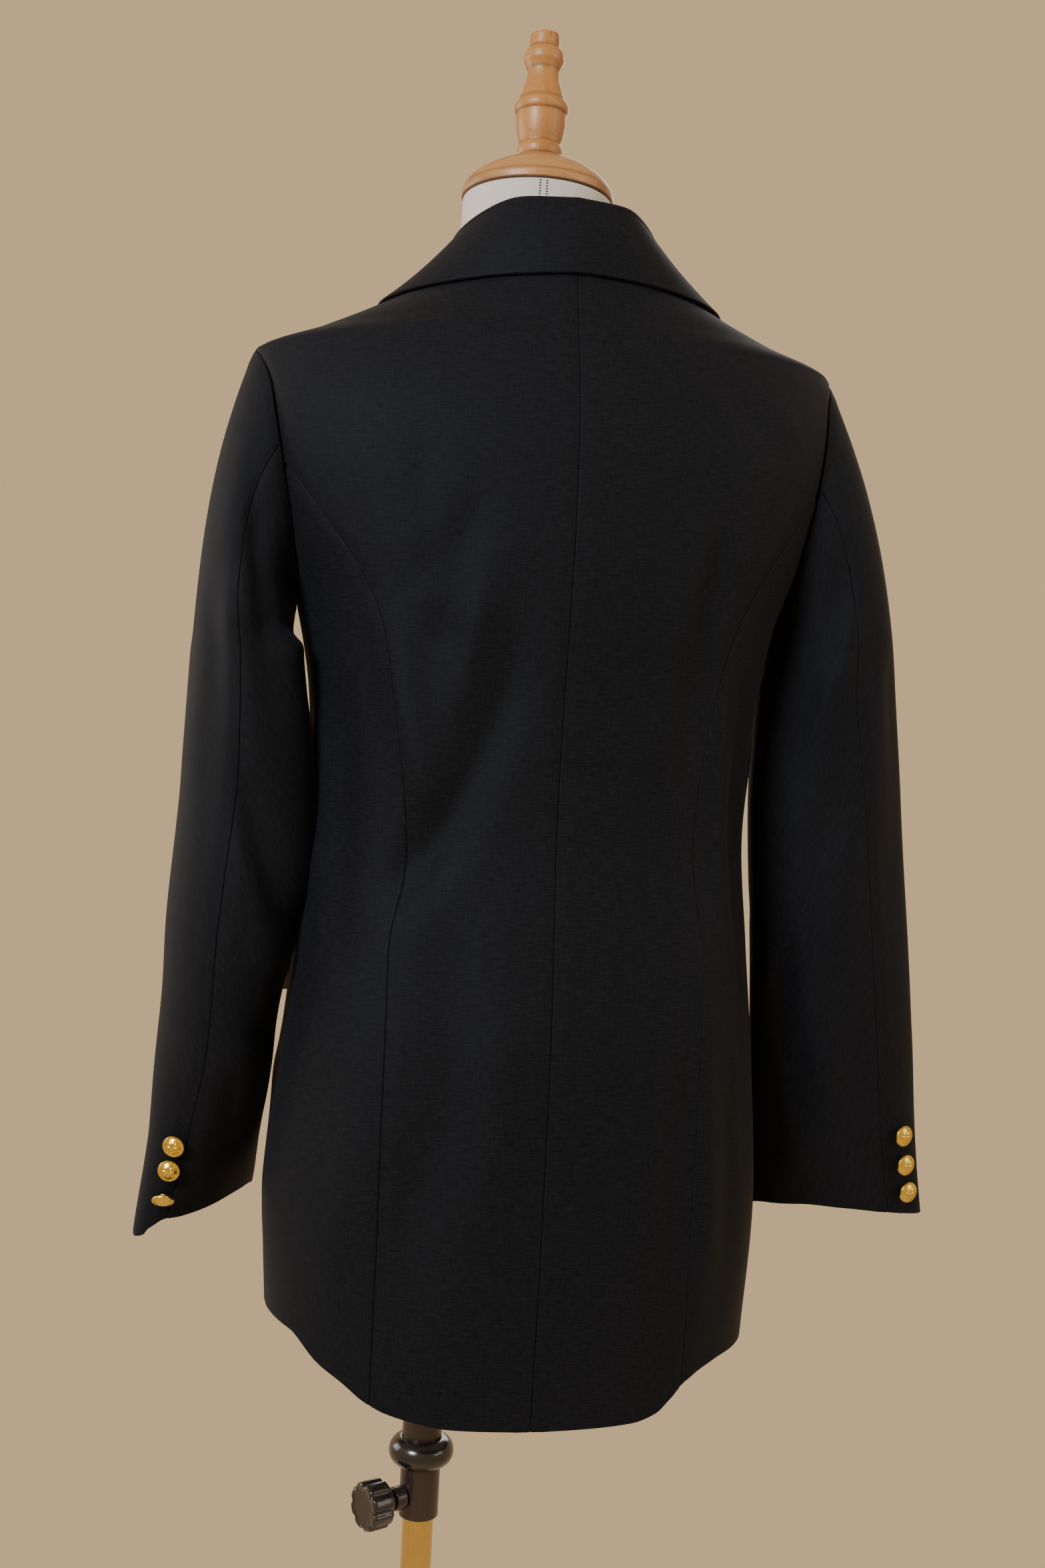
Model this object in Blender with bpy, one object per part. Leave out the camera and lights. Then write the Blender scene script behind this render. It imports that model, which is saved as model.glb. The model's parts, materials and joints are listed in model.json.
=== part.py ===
"""A tailored blazer that hangs on a limbless dress form with a turned finial and a pole stand.

Metres, +Z up. The origin is on the floor under the middle of the round base. The garment's
front faces -Y and the wearer's left is +X. Heights in the tables are counted from the waist.
"""

from math import acos, asin, cos, pi, radians, sin, sqrt

import bmesh
import bpy
from mathutils import Vector

for old in list(bpy.data.objects):
    bpy.data.objects.remove(old, do_unlink=True)

# Driving sizes
WAIST = 1.06                # height of the waist above the floor
GARMENT_X = -0.052          # the garment's middle plane, beside the pole
CLOTH = 0.0016              # thickness of the fused cloth
SEAM = 0.0003               # gap between two pieces at a seam
SHOULDER_TILT = 0.006       # drop of the left shoulder and rise of the right one
SHOULDER_REACH = 0.20       # shoulder tip from the middle plane
TILT_GROWS = (0.05, 0.29)   # heights between which the tilt sets in
TILT_ENDS = (0.33, 0.38)    # and between which it ends at the neck

# Levels across the body: height, half width, back depth, front depth, squareness
BODY = (
    (-0.400, 0.1600, 0.117, 0.111, 2.40),
    (-0.357, 0.1628, 0.120, 0.114, 2.40),
    (-0.275, 0.1672, 0.124, 0.118, 2.40),
    (-0.179, 0.1610, 0.125, 0.117, 2.40),
    (-0.096, 0.1535, 0.119, 0.112, 2.35),
    (-0.025, 0.1485, 0.111, 0.106, 2.30),
    (0.050, 0.1520, 0.114, 0.114, 2.30),
    (0.115, 0.1630, 0.122, 0.123, 2.30),
    (0.160, 0.1810, 0.125, 0.121, 2.25),
    (0.205, 0.1960, 0.124, 0.110, 2.20),
    (0.245, 0.2025, 0.118, 0.094, 2.10),
    (0.272, 0.2030, 0.110, 0.080, 1.95),
    (0.289, 0.2000, 0.104, 0.071, 1.85),
    (0.303, 0.1655, 0.099, 0.064, 1.80),
    (0.317, 0.1335, 0.095, 0.058, 1.80),
    (0.330, 0.1060, 0.091, 0.054, 1.85),
    (0.342, 0.0820, 0.088, 0.051, 1.90),
    (0.360, 0.0720, 0.083, 0.048, 2.00),
)

# The hem's height: degrees round from the middle of the back, height. It hangs unevenly
LEFT_HEM = (
    (0, -0.3985), (14, -0.3975), (26, -0.3925), (34, -0.3865), (43, -0.3745), (51, -0.3665),
    (64, -0.351), (78, -0.3495), (90, -0.3515), (118, -0.363), (146, -0.379), (160, -0.380),
    (170, -0.370), (178, -0.350), (187, -0.318),
)
RIGHT_HEM = (
    (0, -0.3985), (20, -0.3965), (27, -0.392), (31, -0.384), (36, -0.374), (43, -0.3675),
    (52, -0.364), (66, -0.3635), (90, -0.3665), (118, -0.371), (146, -0.381), (160, -0.380),
    (170, -0.370), (178, -0.350), (187, -0.318),
)

# The neck edge's height: degrees round from the middle of the back, height
NECK = ((0, 0.350), (35, 0.3495), (65, 0.346), (90, 0.342), (125, 0.340))

# The long back seam: height, distance from the middle plane
BACK_SEAM = (
    (-0.400, 0.099), (-0.250, 0.101), (-0.110, 0.101), (-0.030, 0.0935), (0.060, 0.1035),
    (0.100, 0.113), (0.139, 0.132), (0.172, 0.155), (0.203, 0.1765),
)
SIDE_SEAM = radians(93)
SHOULDER_SEAM = radians(90)
HEM_LOW = -0.3985
NECK_HIGH = 0.350

# The armhole is an upright oval that is traced on the body
ARMHOLE_LOW = 0.115
ARMHOLE_HIGH = 0.289
ARMHOLE_BACK = 0.058
ARMHOLE_FRONT = 0.054
BACK_SEAM_TOP = 0.203       # where the long back seam runs out into the armhole

# The front edge: straight below the break of the lapel, then along its roll line
EDGE_REACH = 0.018          # how far a front reaches past the middle
BREAK_HEIGHT = 0.015
ROLL_TOP = 0.342
ROLL_TOP_X = 0.0790
ROLL_POWER = 0.92
OVERLAP_FROM = radians(158)
OVERLAP_TO = radians(172)

# Sleeve stations from the upper arm to the cuff: height, outwards, backwards, half width,
# half depth, turn in degrees, degrees of the back seam, degrees of the front seam
LEFT_SLEEVE = (
    (0.080, 0.1975, 0.002, 0.0345, 0.066, 3, 80, 252),
    (0.000, 0.1945, 0.004, 0.0395, 0.057, 8, 73, 252),
    (-0.096, 0.1995, 0.003, 0.0390, 0.051, 14, 63, 250),
    (-0.165, 0.2030, -0.006, 0.0370, 0.047, 24, 52, 248),
    (-0.235, 0.2075, -0.026, 0.0400, 0.035, 40, 37, 246),
    (-0.297, 0.2130, -0.050, 0.0530, 0.0275, 50, 33, 244),
)
RIGHT_SLEEVE = (
    (0.080, 0.2095, 0.002, 0.0490, 0.057, 0, 86, 256),
    (0.000, 0.2135, 0.003, 0.0545, 0.047, 0, 76, 254),
    (-0.096, 0.2220, 0.002, 0.0570, 0.039, 2, 70, 252),
    (-0.165, 0.2285, -0.002, 0.0590, 0.034, 3, 66, 250),
    (-0.225, 0.2355, -0.010, 0.0610, 0.029, 4, 62, 248),
    (-0.280, 0.2447, -0.021, 0.0642, 0.025, 5, 58, 246),
)
# The slant of the cuffs' hems: degrees round the sleeve, drop
LEFT_CUFF = (
    (0, 0.002), (15, -0.006), (32, -0.012), (90, -0.0135), (120, -0.010), (150, -0.0015), (180, 0.001),
    (240, 0.002), (290, 0.006), (330, 0.009), (360, 0.002),
)
RIGHT_CUFF = (
    (0, 0.023), (15, 0.021), (30, 0.018), (60, 0.0105), (90, 0.0025), (120, -0.0025), (150, -0.0025),
    (180, 0.001), (240, 0.001), (270, 0.002), (300, 0.007), (330, 0.015), (350, 0.022), (360, 0.023),
)
CUFF_FROM = 0.62            # how far down the arm the slant sets in
RIM_GAP = 0.0010            # from the armhole's edge to the sleeve head's edge
HEAD_OUT = 0.30             # how a sleeve head leaves the armhole: outwards, more so at its
HEAD_BACK = 0.30            # sides, backwards or forwards, and down
HEAD_DOWN = -0.92
HEAD_MIDDLE = (0.185, 0.0, 0.202)

# Collar stations from the middle of the back to the front end: degrees and height of the neck
# seam, the fold's outwards, backwards and height, degrees and height of the fall's edge, and
# how far the fall bows out between its fold and its edge
COLLAR = (
    (0, 0.3508, 0.000, 0.079, 0.3820, 0, 0.3285, 0.0025),
    (30, 0.3505, 0.035, 0.0725, 0.3810, 27, 0.3265, 0.0012),
    (57, 0.3482, 0.0565, 0.0520, 0.3760, 50, 0.3245, -0.0015),
    (78, 0.3454, 0.0690, 0.0240, 0.3690, 72, 0.3240, -0.0032),
    (92, 0.3432, 0.0735, -0.0030, 0.3590, 90, 0.3240, -0.0040),
    (110, 0.3412, 0.0740, -0.0260, 0.3470, 105, 0.3170, -0.0035),
    (128, 0.3380, 0.0740, -0.0400, 0.3360, 118, 0.3010, -0.0015),
)
FOLD_RADIUS = 0.0042
COLLAR_LIFT = 0.0014
COLLAR_BOW_UP = 0.0020
RIGHT_COLLAR_IN = 0.0045    # the right side of the fold lies closer to the neck
COLLAR_STATIONS = 9

# The lapel on a front: its lowest point, its notch, its width at both and its slanting top
LAPEL_LOW = 0.080
LAPEL_NOTCH = 0.236
LAPEL_FOOT = 0.012
LAPEL_WIDTH = 0.070
LAPEL_GROWTH = 0.85
LAPEL_START = 0.0005        # from the front's edge
LAPEL_TOP = 0.300
LAPEL_LIFT = 0.0007

# Pocket flap on the front, below the waist
FLAP_TOP = -0.098
FLAP_DEPTH = 0.050
FLAP_FROM = radians(104)
FLAP_TO = radians(146)
FLAP_LIFT = 0.0007
FLAP_SLANT = 0.010          # fall of the flap towards the front
LEFT_FLARE = 0.009          # how far the left flap stands off at its rear lower corner
RIGHT_FLARE = 0.002

# Buttons
CUFF_BUTTON_R = 0.0075
FRONT_BUTTON_R = 0.0100
CUFF_BUTTON_PITCH = 0.0185
CUFF_BUTTON_FROM_HEM = {"left": 0.024, "right": 0.018}
CUFF_BUTTON_SHIFT = {"left": radians(12), "right": radians(17)}
CUFF_BUTTON_LIFT = 0.0008
TIPPED_LIFT = 0.0042        # the lowest left button is tipped down and stands off the cuff
TIPPED_DOWN = 1.1
FRONT_BUTTON_LIFT = 0.0006
FRONT_BUTTON_DROP = 0.020   # below the break of the lapel
SHANK_R = 0.0019
SHANK_TOP = 0.0031
BUTTON_SIDES = 14

# The form inside, which carries the shoulders: height, clearance to the cloth, sideways lean
FORM_REST = 0.0018          # clearance where it carries them
FORM = (
    (-0.352, 0.036, 0.019), (-0.345, 0.028, 0.019), (-0.300, 0.024, 0.018), (-0.200, 0.023, 0.016),
    (-0.100, 0.018, 0.012), (-0.025, 0.016, 0.009), (0.050, 0.014, 0.006), (0.115, 0.012, 0.004),
    (0.180, 0.015, 0.002), (0.240, 0.016, 0.001), (0.275, 0.012, 0.000), (0.292, 0.005, 0.000),
    (0.303, FORM_REST, 0.000), (0.317, FORM_REST, 0.000), (0.330, 0.0070, 0.000),
)
NECK_X = 0.014              # middle of the form's neck, from the garment's middle plane
NECK_Y = 0.004
NECK_R = 0.0515
NECK_TOP = 0.4015
NECK_ROWS = ((0.350, 0.0540), (0.370, 0.0515))

# Neck cap and finial: height above the waist, radius
CAP_PROFILE = (
    (0.4020, 0.0000), (0.4020, 0.0500), (0.4026, 0.0520), (0.4060, 0.0522), (0.4110, 0.0500),
    (0.4170, 0.0445), (0.4230, 0.0360), (0.4280, 0.0255), (0.4312, 0.0160), (0.4320, 0.0000),
)
FINIAL_PROFILE = (
    (0.4323, 0.0000), (0.4323, 0.0145), (0.4345, 0.0156), (0.4370, 0.0158), (0.4395, 0.0150),
    (0.4415, 0.0143), (0.4480, 0.0160), (0.4560, 0.0171), (0.4615, 0.0172), (0.4635, 0.0182),
    (0.4660, 0.0187), (0.4685, 0.0182), (0.4705, 0.0168), (0.4780, 0.0140), (0.4860, 0.0115),
    (0.4910, 0.0110), (0.4950, 0.0122), (0.4990, 0.0138), (0.5030, 0.0136), (0.5065, 0.0115),
    (0.5085, 0.0104), (0.5160, 0.0102), (0.5172, 0.0096), (0.5172, 0.0000),
)

# Stand
POLE_R = 0.0105
POLE_TOP = 0.900
SOCKET_TOP = 1.000          # blind socket in the form, above the pole
SOCKET_R = 0.0125
TUBE_R = 0.0135
CLAMP_BORE = 0.0110
CLAMP_LOW = WAIST - 0.499
CLAMP_HIGH = WAIST - 0.446
RING_LOW = WAIST - 0.4635
RING_HIGH = WAIST - 0.4450
RING_R = 0.0222
FORM_FLOOR = -0.3525        # underside of the form, from the waist
KNOB_HEIGHT = WAIST - 0.484
KNOB_AXIS = Vector((0.88, 0.47, 0.0)).normalized()
BOSS_LENGTH = 0.009
KNOB_R = 0.0160
KNOB_LENGTH = 0.0215
KNOB_SIDES = 32
FLUTE_EVERY = 4             # each fourth edge of the knob's rim is a finger groove
FLUTE_DEPTH = 0.11          # as a share of the radius
FLUTED_FROM = 0.8
BASE_R = 0.172
BASE_EDGE = 0.006
BASE_HEIGHT = 0.016
HUB_R = 0.026
HUB_TOP = 0.040

# Colours: red, green, blue, metallic, roughness
FINISHES = {
    "black suiting": (0.010, 0.010, 0.012, 0.0, 0.62),
    "gold metal": (0.80, 0.52, 0.16, 1.0, 0.28),
    "grey jersey": (0.60, 0.59, 0.58, 0.0, 0.85),
    "turned wood": (0.55, 0.29, 0.12, 0.0, 0.40),
    "brown black metal": (0.020, 0.015, 0.014, 0.6, 0.45),
    "black plastic": (0.008, 0.008, 0.008, 0.0, 0.30),
    "brass": (0.62, 0.40, 0.12, 1.0, 0.25),
}


def finish(name):
    """The material of that name."""
    material = bpy.data.materials.get(name)
    if material is None:
        red, green, blue, metallic, roughness = FINISHES[name]
        material = bpy.data.materials.new(name)
        material.use_nodes = True
        shader = material.node_tree.nodes["Principled BSDF"]
        shader.inputs["Base Color"].default_value = (red, green, blue, 1.0)
        shader.inputs["Metallic"].default_value = metallic
        shader.inputs["Roughness"].default_value = roughness
    return material


# Curves through tables

def slopes_of(table, column):
    """Slope at each row of a table, so that a curve through it never overshoots."""
    steps = []
    for low, high in zip(table, table[1:]):
        steps.append((high[column] - low[column]) / (high[0] - low[0]))
    slopes = [steps[0]]
    for before, after in zip(steps, steps[1:]):
        slopes.append(0.0 if before * after <= 0 else 2 * before * after / (before + after))
    slopes.append(steps[-1])
    return slopes


def smooth_value(table, slopes, column, place):
    """One column of a table, read at a place in its rising first column."""
    place = min(max(place, table[0][0]), table[-1][0])
    row = 0
    while row < len(table) - 2 and place > table[row + 1][0]:
        row += 1
    span = table[row + 1][0] - table[row][0]
    t = (place - table[row][0]) / span
    return ((2 * t ** 3 - 3 * t ** 2 + 1) * table[row][column]
            + (t ** 3 - 2 * t ** 2 + t) * span * slopes[row]
            + (3 * t ** 2 - 2 * t ** 3) * table[row + 1][column]
            + (t ** 3 - t ** 2) * span * slopes[row + 1])


def reader(table):
    """A function that reads every column after the first one of a table, smoothly."""
    columns = range(1, len(table[0]))
    slopes = {column: slopes_of(table, column) for column in columns}

    def read(place):
        return [smooth_value(table, slopes[column], column, place) for column in columns]
    return read


def ease(value, low, high):
    """0 below low, 1 above high and a soft step between them."""
    t = min(max((value - low) / (high - low), 0.0), 1.0)
    return t * t * (3 - 2 * t)


def mix(a, b, t):
    return a * (1 - t) + b * t


body_at = reader(BODY)
hem_at = {1: reader(LEFT_HEM), -1: reader(RIGHT_HEM)}
neck_at = reader(NECK)
back_seam_at = reader(BACK_SEAM)


# The body's surface: side is 1 on the wearer's left and -1 on the right, turn runs from 0 at
# the middle of the back to pi at the middle of the front

def settle(point):
    """A garment point in world space, with the slight tilt of the shoulders."""
    x, y, height = point
    share = ease(height, *TILT_GROWS) * (1 - ease(height, *TILT_ENDS))
    tilt = SHOULDER_TILT * x / SHOULDER_REACH * share
    return Vector((x + GARMENT_X, y, WAIST + height - tilt))


def body_point(side, turn, height):
    """Outer face of the cloth on the body, in the garment's own axes."""
    width, back, front, square = body_at(height)
    across = sin(turn)
    along = cos(turn)
    x = width * abs(across) ** (2 / square) * (1 if across >= 0 else -1)
    depth = back if along >= 0 else front
    y = depth * abs(along) ** (2 / square) * (1 if along >= 0 else -1)
    return Vector((side * x, y, height))


def body_normal(side, turn, height):
    """Outward direction of the body's surface."""
    step = 0.01
    along = body_point(side, turn + step, height) - body_point(side, turn - step, height)
    up = body_point(side, turn, height + 0.001) - body_point(side, turn, height - 0.001)
    normal = along.cross(up).normalized()
    outwards = body_point(side, turn, height) - Vector((0, 0, height - 0.02))
    return normal if normal.dot(outwards) > 0 else -normal


def turn_of_x(x, height, front):
    """The turn at which the body's surface has that distance from the middle plane."""
    width, _, _, square = body_at(height)
    share = min(abs(x) / width, 1.0)
    turn = asin(share ** (square / 2))
    if x < 0:
        turn = -turn
    return pi - turn if front else turn


def turn_of_y(y, height, front):
    """The turn at which the body's surface has that depth."""
    depth = body_at(height)[2 if front else 1]
    turn = acos(min(y / depth, 1.0) ** (body_at(height)[3] / 2))
    return pi - turn if front else turn


def armhole_turn(height, front):
    """The armhole's edge on the back or the front, at a height."""
    middle = (ARMHOLE_LOW + ARMHOLE_HIGH) / 2
    reach = (ARMHOLE_HIGH - ARMHOLE_LOW) / 2
    share = min(abs(height - middle) / reach, 1.0)
    y = (ARMHOLE_FRONT if front else ARMHOLE_BACK) * sqrt(1 - share ** 2)
    return turn_of_y(y, height, front)


def armhole_point(side, angle):
    """A point on the armhole's edge; 0 is the shoulder tip and pi / 2 the back."""
    middle = (ARMHOLE_LOW + ARMHOLE_HIGH) / 2
    reach = (ARMHOLE_HIGH - ARMHOLE_LOW) / 2
    height = middle + reach * cos(angle)
    front = sin(angle) < 0
    y = (ARMHOLE_FRONT if front else ARMHOLE_BACK) * abs(sin(angle))
    turn = turn_of_y(y, height, front)
    return body_point(side, turn, height), body_normal(side, turn, height)


def edge_x(height):
    """Distance of the front edge from the middle plane, along the roll line above the break."""
    if height <= BREAK_HEIGHT:
        return -EDGE_REACH
    share = min((height - BREAK_HEIGHT) / (ROLL_TOP - BREAK_HEIGHT), 1.0)
    return mix(-EDGE_REACH, ROLL_TOP_X, share ** ROLL_POWER)


def edge_turn(height):
    return turn_of_x(edge_x(height), height, True)


def level_height(side, turn, level):
    """The height of a level, which follows the hem at the bottom and the neck at the top."""
    by_hem = (hem_at[side](turn * 180 / pi)[0] - HEM_LOW) * (1 - ease(level, HEM_LOW, -0.25))
    by_neck = (neck_at(turn * 180 / pi)[0] - NECK_HIGH) * ease(level, 0.325, NECK_HIGH)
    return level + by_hem + by_neck


def overlap_lift(side, turn):
    """The right front lies on the left one at the middle, so it steps out there."""
    if side > 0:
        return 0.0
    return (CLOTH + 0.0009) * ease(turn, OVERLAP_FROM, OVERLAP_TO)


# Cloth pieces

def cloth_wall(name, rows, material="black suiting", thickness=CLOTH):
    """A closed wall from a grid of outer points and outward directions, and its object."""
    height = len(rows)
    width = len(rows[0])
    sheet = bmesh.new()
    outer = [[sheet.verts.new(settle(point)) for point, _ in row] for row in rows]
    inner = [[sheet.verts.new(settle(point - normal * thickness)) for point, normal in row]
             for row in rows]
    for r in range(height - 1):
        for c in range(width - 1):
            for grid in (outer, inner):
                sheet.faces.new((grid[r][c], grid[r][c + 1], grid[r + 1][c + 1], grid[r + 1][c]))
    for r in range(height - 1):
        for c in (0, width - 1):
            sheet.faces.new((outer[r][c], outer[r + 1][c], inner[r + 1][c], inner[r][c]))
    for c in range(width - 1):
        for r in (0, height - 1):
            sheet.faces.new((outer[r][c], outer[r][c + 1], inner[r][c + 1], inner[r][c]))
    return make_object(name, sheet, material)


def make_object(name, sheet, material):
    """An object of that name from an edit mesh whose faces are turned outwards."""
    bmesh.ops.recalc_face_normals(sheet, faces=sheet.faces)
    mesh = bpy.data.meshes.new(name)
    sheet.to_mesh(mesh)
    sheet.free()
    mesh.materials.append(finish(material))
    mesh.shade_smooth()
    mesh.set_sharp_from_angle(angle=radians(40))
    thing = bpy.data.objects.new(name, mesh)
    bpy.context.scene.collection.objects.link(thing)
    return thing


def body_panel(name, side, left, right, levels, columns):
    """A panel of the body between two seams, each a turn that depends on the level."""
    rows = []
    for level in levels:
        low, high = left(level), right(level)
        trim = [0.5 * SEAM / turn_length(side, turn, level) for turn in (low, high)]
        low += trim[0]
        high -= trim[1]
        row = []
        for column in range(columns + 1):
            turn = mix(low, high, column / columns)
            height = level_height(side, turn, level)
            normal = body_normal(side, turn, height)
            point = body_point(side, turn, height) + normal * overlap_lift(side, turn)
            row.append((point, normal))
        rows.append(row)
    return cloth_wall(name, rows)


def turn_length(side, turn, height):
    """Length on the surface of one radian of turn."""
    step = 0.01
    chord = body_point(side, turn + step, height) - body_point(side, turn - step, height)
    return chord.length / (2 * step)


def back_edge(level):
    """The back's outer seam: the long seam, then the armhole, then the shoulder."""
    if level < BACK_SEAM_TOP:
        return turn_of_x(back_seam_at(level)[0], level, False)
    if level < ARMHOLE_HIGH:
        return armhole_turn(level, False)
    return SHOULDER_SEAM


def side_back_outer(level):
    """The side back's outer seam: the side seam, then the lower back of the armhole."""
    return SIDE_SEAM if level <= ARMHOLE_LOW else min(armhole_turn(level, False), SIDE_SEAM)


def front_outer(level):
    """The front's rear seam: the side seam, then the armhole, then the shoulder."""
    if level <= ARMHOLE_LOW:
        return SIDE_SEAM
    if level < ARMHOLE_HIGH:
        return max(armhole_turn(level, True), SIDE_SEAM)
    return SHOULDER_SEAM


LOWER_LEVELS = (-0.3985, -0.380, -0.345, -0.300, -0.245, -0.190, -0.140, -0.095, -0.050, -0.010,
                0.030, 0.070, 0.1149)
SCYE_LEVELS = (0.1165, 0.121, 0.129, 0.141, 0.157, 0.177, 0.192)
UPPER_LEVELS = (0.2029, 0.225, 0.246, 0.263, 0.275, 0.283, 0.2875, 0.289, 0.297, 0.306, 0.315, 0.324,
                0.333)


def back_middle(level):
    return 0.0


def build_body():
    for side, word in ((1, "left"), (-1, "right")):
        body_panel("back_" + word, side, back_middle, back_edge,
                   LOWER_LEVELS + SCYE_LEVELS + UPPER_LEVELS + (0.342, 0.350), 7)
        body_panel("side_back_" + word, side, back_edge, side_back_outer, LOWER_LEVELS + SCYE_LEVELS, 4)
        body_panel("front_" + word, side, front_outer, edge_turn,
                   LOWER_LEVELS + SCYE_LEVELS + UPPER_LEVELS + (0.3415,), 9)


# Sleeves

def sleeve_surface(side, table):
    """A function of the angle round the sleeve and the way down it: -1 armhole to 0 upper arm
    to 1 cuff. It gives the point and the outward direction."""
    count = len(table) - 1
    ways = [(row / count,) + table[row] for row in range(count + 1)]
    station = reader(ways)
    cuff_at = reader(LEFT_CUFF if side > 0 else RIGHT_CUFF)

    def centre(way):
        height, out, back = station(way)[:3]
        return Vector((out, back, height))

    def tube(angle, way):
        _, _, _, half_width, half_depth, turn = station(way)[:6]
        step = 0.02
        down = (centre(min(way + step, 1)) - centre(max(way - step, 0))).normalized()
        if way < 0.1:
            down = mix(Vector((0, 0, -1)), down, way / 0.1).normalized()
        out = Vector((1, 0, 0)) - down * down.x
        out.normalize()
        back = -down.cross(out)
        turn = radians(turn)
        u = half_width * cos(angle)
        v = half_depth * sin(angle)
        return centre(way) + out * (u * cos(turn) - v * sin(turn)) + back * (u * sin(turn) + v * cos(turn))

    def cap(angle, share):
        rim, rim_normal = armhole_point(1, angle)
        leave = Vector((HEAD_OUT * (1 + abs(sin(angle))), HEAD_BACK * sin(angle), HEAD_DOWN)).normalized()
        start = rim + (leave + rim_normal).normalized() * RIM_GAP
        finish_point = tube(angle, 0)
        length = (finish_point - start).length
        arrive = (tube(angle, 0.01) - finish_point).normalized()
        t = share
        return ((2 * t ** 3 - 3 * t ** 2 + 1) * start + (t ** 3 - 2 * t ** 2 + t) * leave * length
                + (3 * t ** 2 - 2 * t ** 3) * finish_point + (t ** 3 - t ** 2) * arrive * length)

    def point(angle, way):
        place = cap(angle, way + 1) if way < 0 else tube(angle, way)
        drop = cuff_at(angle * 180 / pi % 360)[0] * ease(way, CUFF_FROM, 1)
        return Vector((side * place.x, place.y, place.z - drop))

    def middle(way):
        if way >= 0:
            place = centre(way)
        else:
            place = mix(centre(0), Vector(HEAD_MIDDLE), -way)
        return Vector((side * place.x, place.y, place.z))

    def surface(angle, way):
        here = point(angle, way)
        step = 0.004
        round_it = point(angle + 0.02, way) - point(angle - 0.02, way)
        along = point(angle, min(way + step, 1)) - point(angle, max(way - step, -1))
        normal = round_it.cross(along).normalized()
        if normal.dot(here - middle(way)) < 0:
            normal = -normal
        return here, normal

    def seams(way):
        back, front = station(max(way, 0))[6:8]
        return radians(back), radians(front)

    return surface, seams


SLEEVE_WAYS = (-1, -0.92, -0.80, -0.64, -0.48, -0.32, -0.16, 0, 0.12, 0.24, 0.36, 0.48, 0.60, 0.72,
               0.86, 1)


def build_sleeve(word, side, table):
    surface, seams = sleeve_surface(side, table)
    for part, columns in (("top", 11), ("under", 8)):
        rows = []
        for way in SLEEVE_WAYS:
            back, front = seams(way)
            low, high = (front - 2 * pi, back) if part == "top" else (back, front)
            step = 0.01
            trims = [SEAM * step / (surface(angle + step, way)[0] - surface(angle - step, way)[0]).length
                     for angle in (low, high)]
            row = []
            for column in range(columns + 1):
                angle = mix(low + trims[0], high - trims[1], column / columns)
                row.append(surface(angle, way))
            rows.append(row)
        cloth_wall("sleeve_" + part + "_" + word, rows)
    build_cuff_buttons(word, side, surface, seams, table)


def build_cuff_buttons(word, side, surface, seams, table):
    """Three buttons up the top sleeve, beside its back seam."""
    length = (Vector(table[-1][:3]) - Vector(table[-2][:3])).length * (len(table) - 1)
    for number in range(3):
        way = 1 - (CUFF_BUTTON_FROM_HEM[word] + number * CUFF_BUTTON_PITCH) / length
        angle = seams(way)[0] - CUFF_BUTTON_SHIFT[word]
        point, normal = surface(angle, way)
        tipped = word == "left" and number == 0
        point = point + normal * (TIPPED_LIFT if tipped else CUFF_BUTTON_LIFT)
        if tipped:
            normal = (normal - Vector((0, 0, TIPPED_DOWN))).normalized()
        build_button("cuff_button_%s_%d" % (word, number + 1), point, normal, CUFF_BUTTON_R)


# Collar

collar_at = reader([(row / (len(COLLAR) - 1),) + COLLAR[row] for row in range(len(COLLAR))])


def collar_row(side, way):
    """Across the collar at one place: up the stand, over the fold and down the fall."""
    seam_turn, seam_height, fold_x, fold_y, fold_height, edge_degrees, edge_height, bow_out = collar_at(way)
    if side < 0:
        fold_x -= RIGHT_COLLAR_IN * ease(way, 0, 0.3)
    seam = body_point(side, radians(seam_turn), seam_height)
    fold = Vector((side * fold_x, fold_y, fold_height))
    out = Vector((fold.x, fold.y + 0.01, 0)).normalized()
    edge_turn_here = radians(edge_degrees)
    normal = body_normal(side, edge_turn_here, edge_height)
    edge = body_point(side, edge_turn_here, edge_height) + normal * (CLOTH + COLLAR_LIFT)
    top = fold - Vector((0, 0, FOLD_RADIUS))
    points = [seam, mix(seam, top - out * FOLD_RADIUS, 0.55)]
    for step in range(5):
        angle = pi - step * pi / 4
        points.append(top + out * FOLD_RADIUS * cos(angle) + Vector((0, 0, FOLD_RADIUS * sin(angle))))
    start = points[-1]
    for share in (0.30, 0.62, 1.0):
        bow = Vector((0, 0, COLLAR_BOW_UP)) + out * bow_out
        points.append(mix(start, edge, share) + bow * sin(pi * share))
    return points


def build_collar():
    ways = [step / COLLAR_STATIONS for step in range(-COLLAR_STATIONS, COLLAR_STATIONS + 1)]
    grid = [collar_row(1 if way >= 0 else -1, abs(way)) for way in ways]
    rows = []
    for r, row in enumerate(grid):
        before = grid[max(r - 1, 0)]
        after = grid[min(r + 1, len(grid) - 1)]
        cells = []
        for c, point in enumerate(row):
            along = after[c] - before[c]
            across = row[min(c + 1, len(row) - 1)] - row[max(c - 1, 0)]
            cells.append((point, across.cross(along).normalized()))
        rows.append(cells)
    apex = rows[len(rows) // 2][4]
    if apex[1].z < 0:
        rows = [[(point, -normal) for point, normal in row] for row in rows]
    cloth_wall("collar", rows)


# Lapels and flaps lie on the fronts

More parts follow.
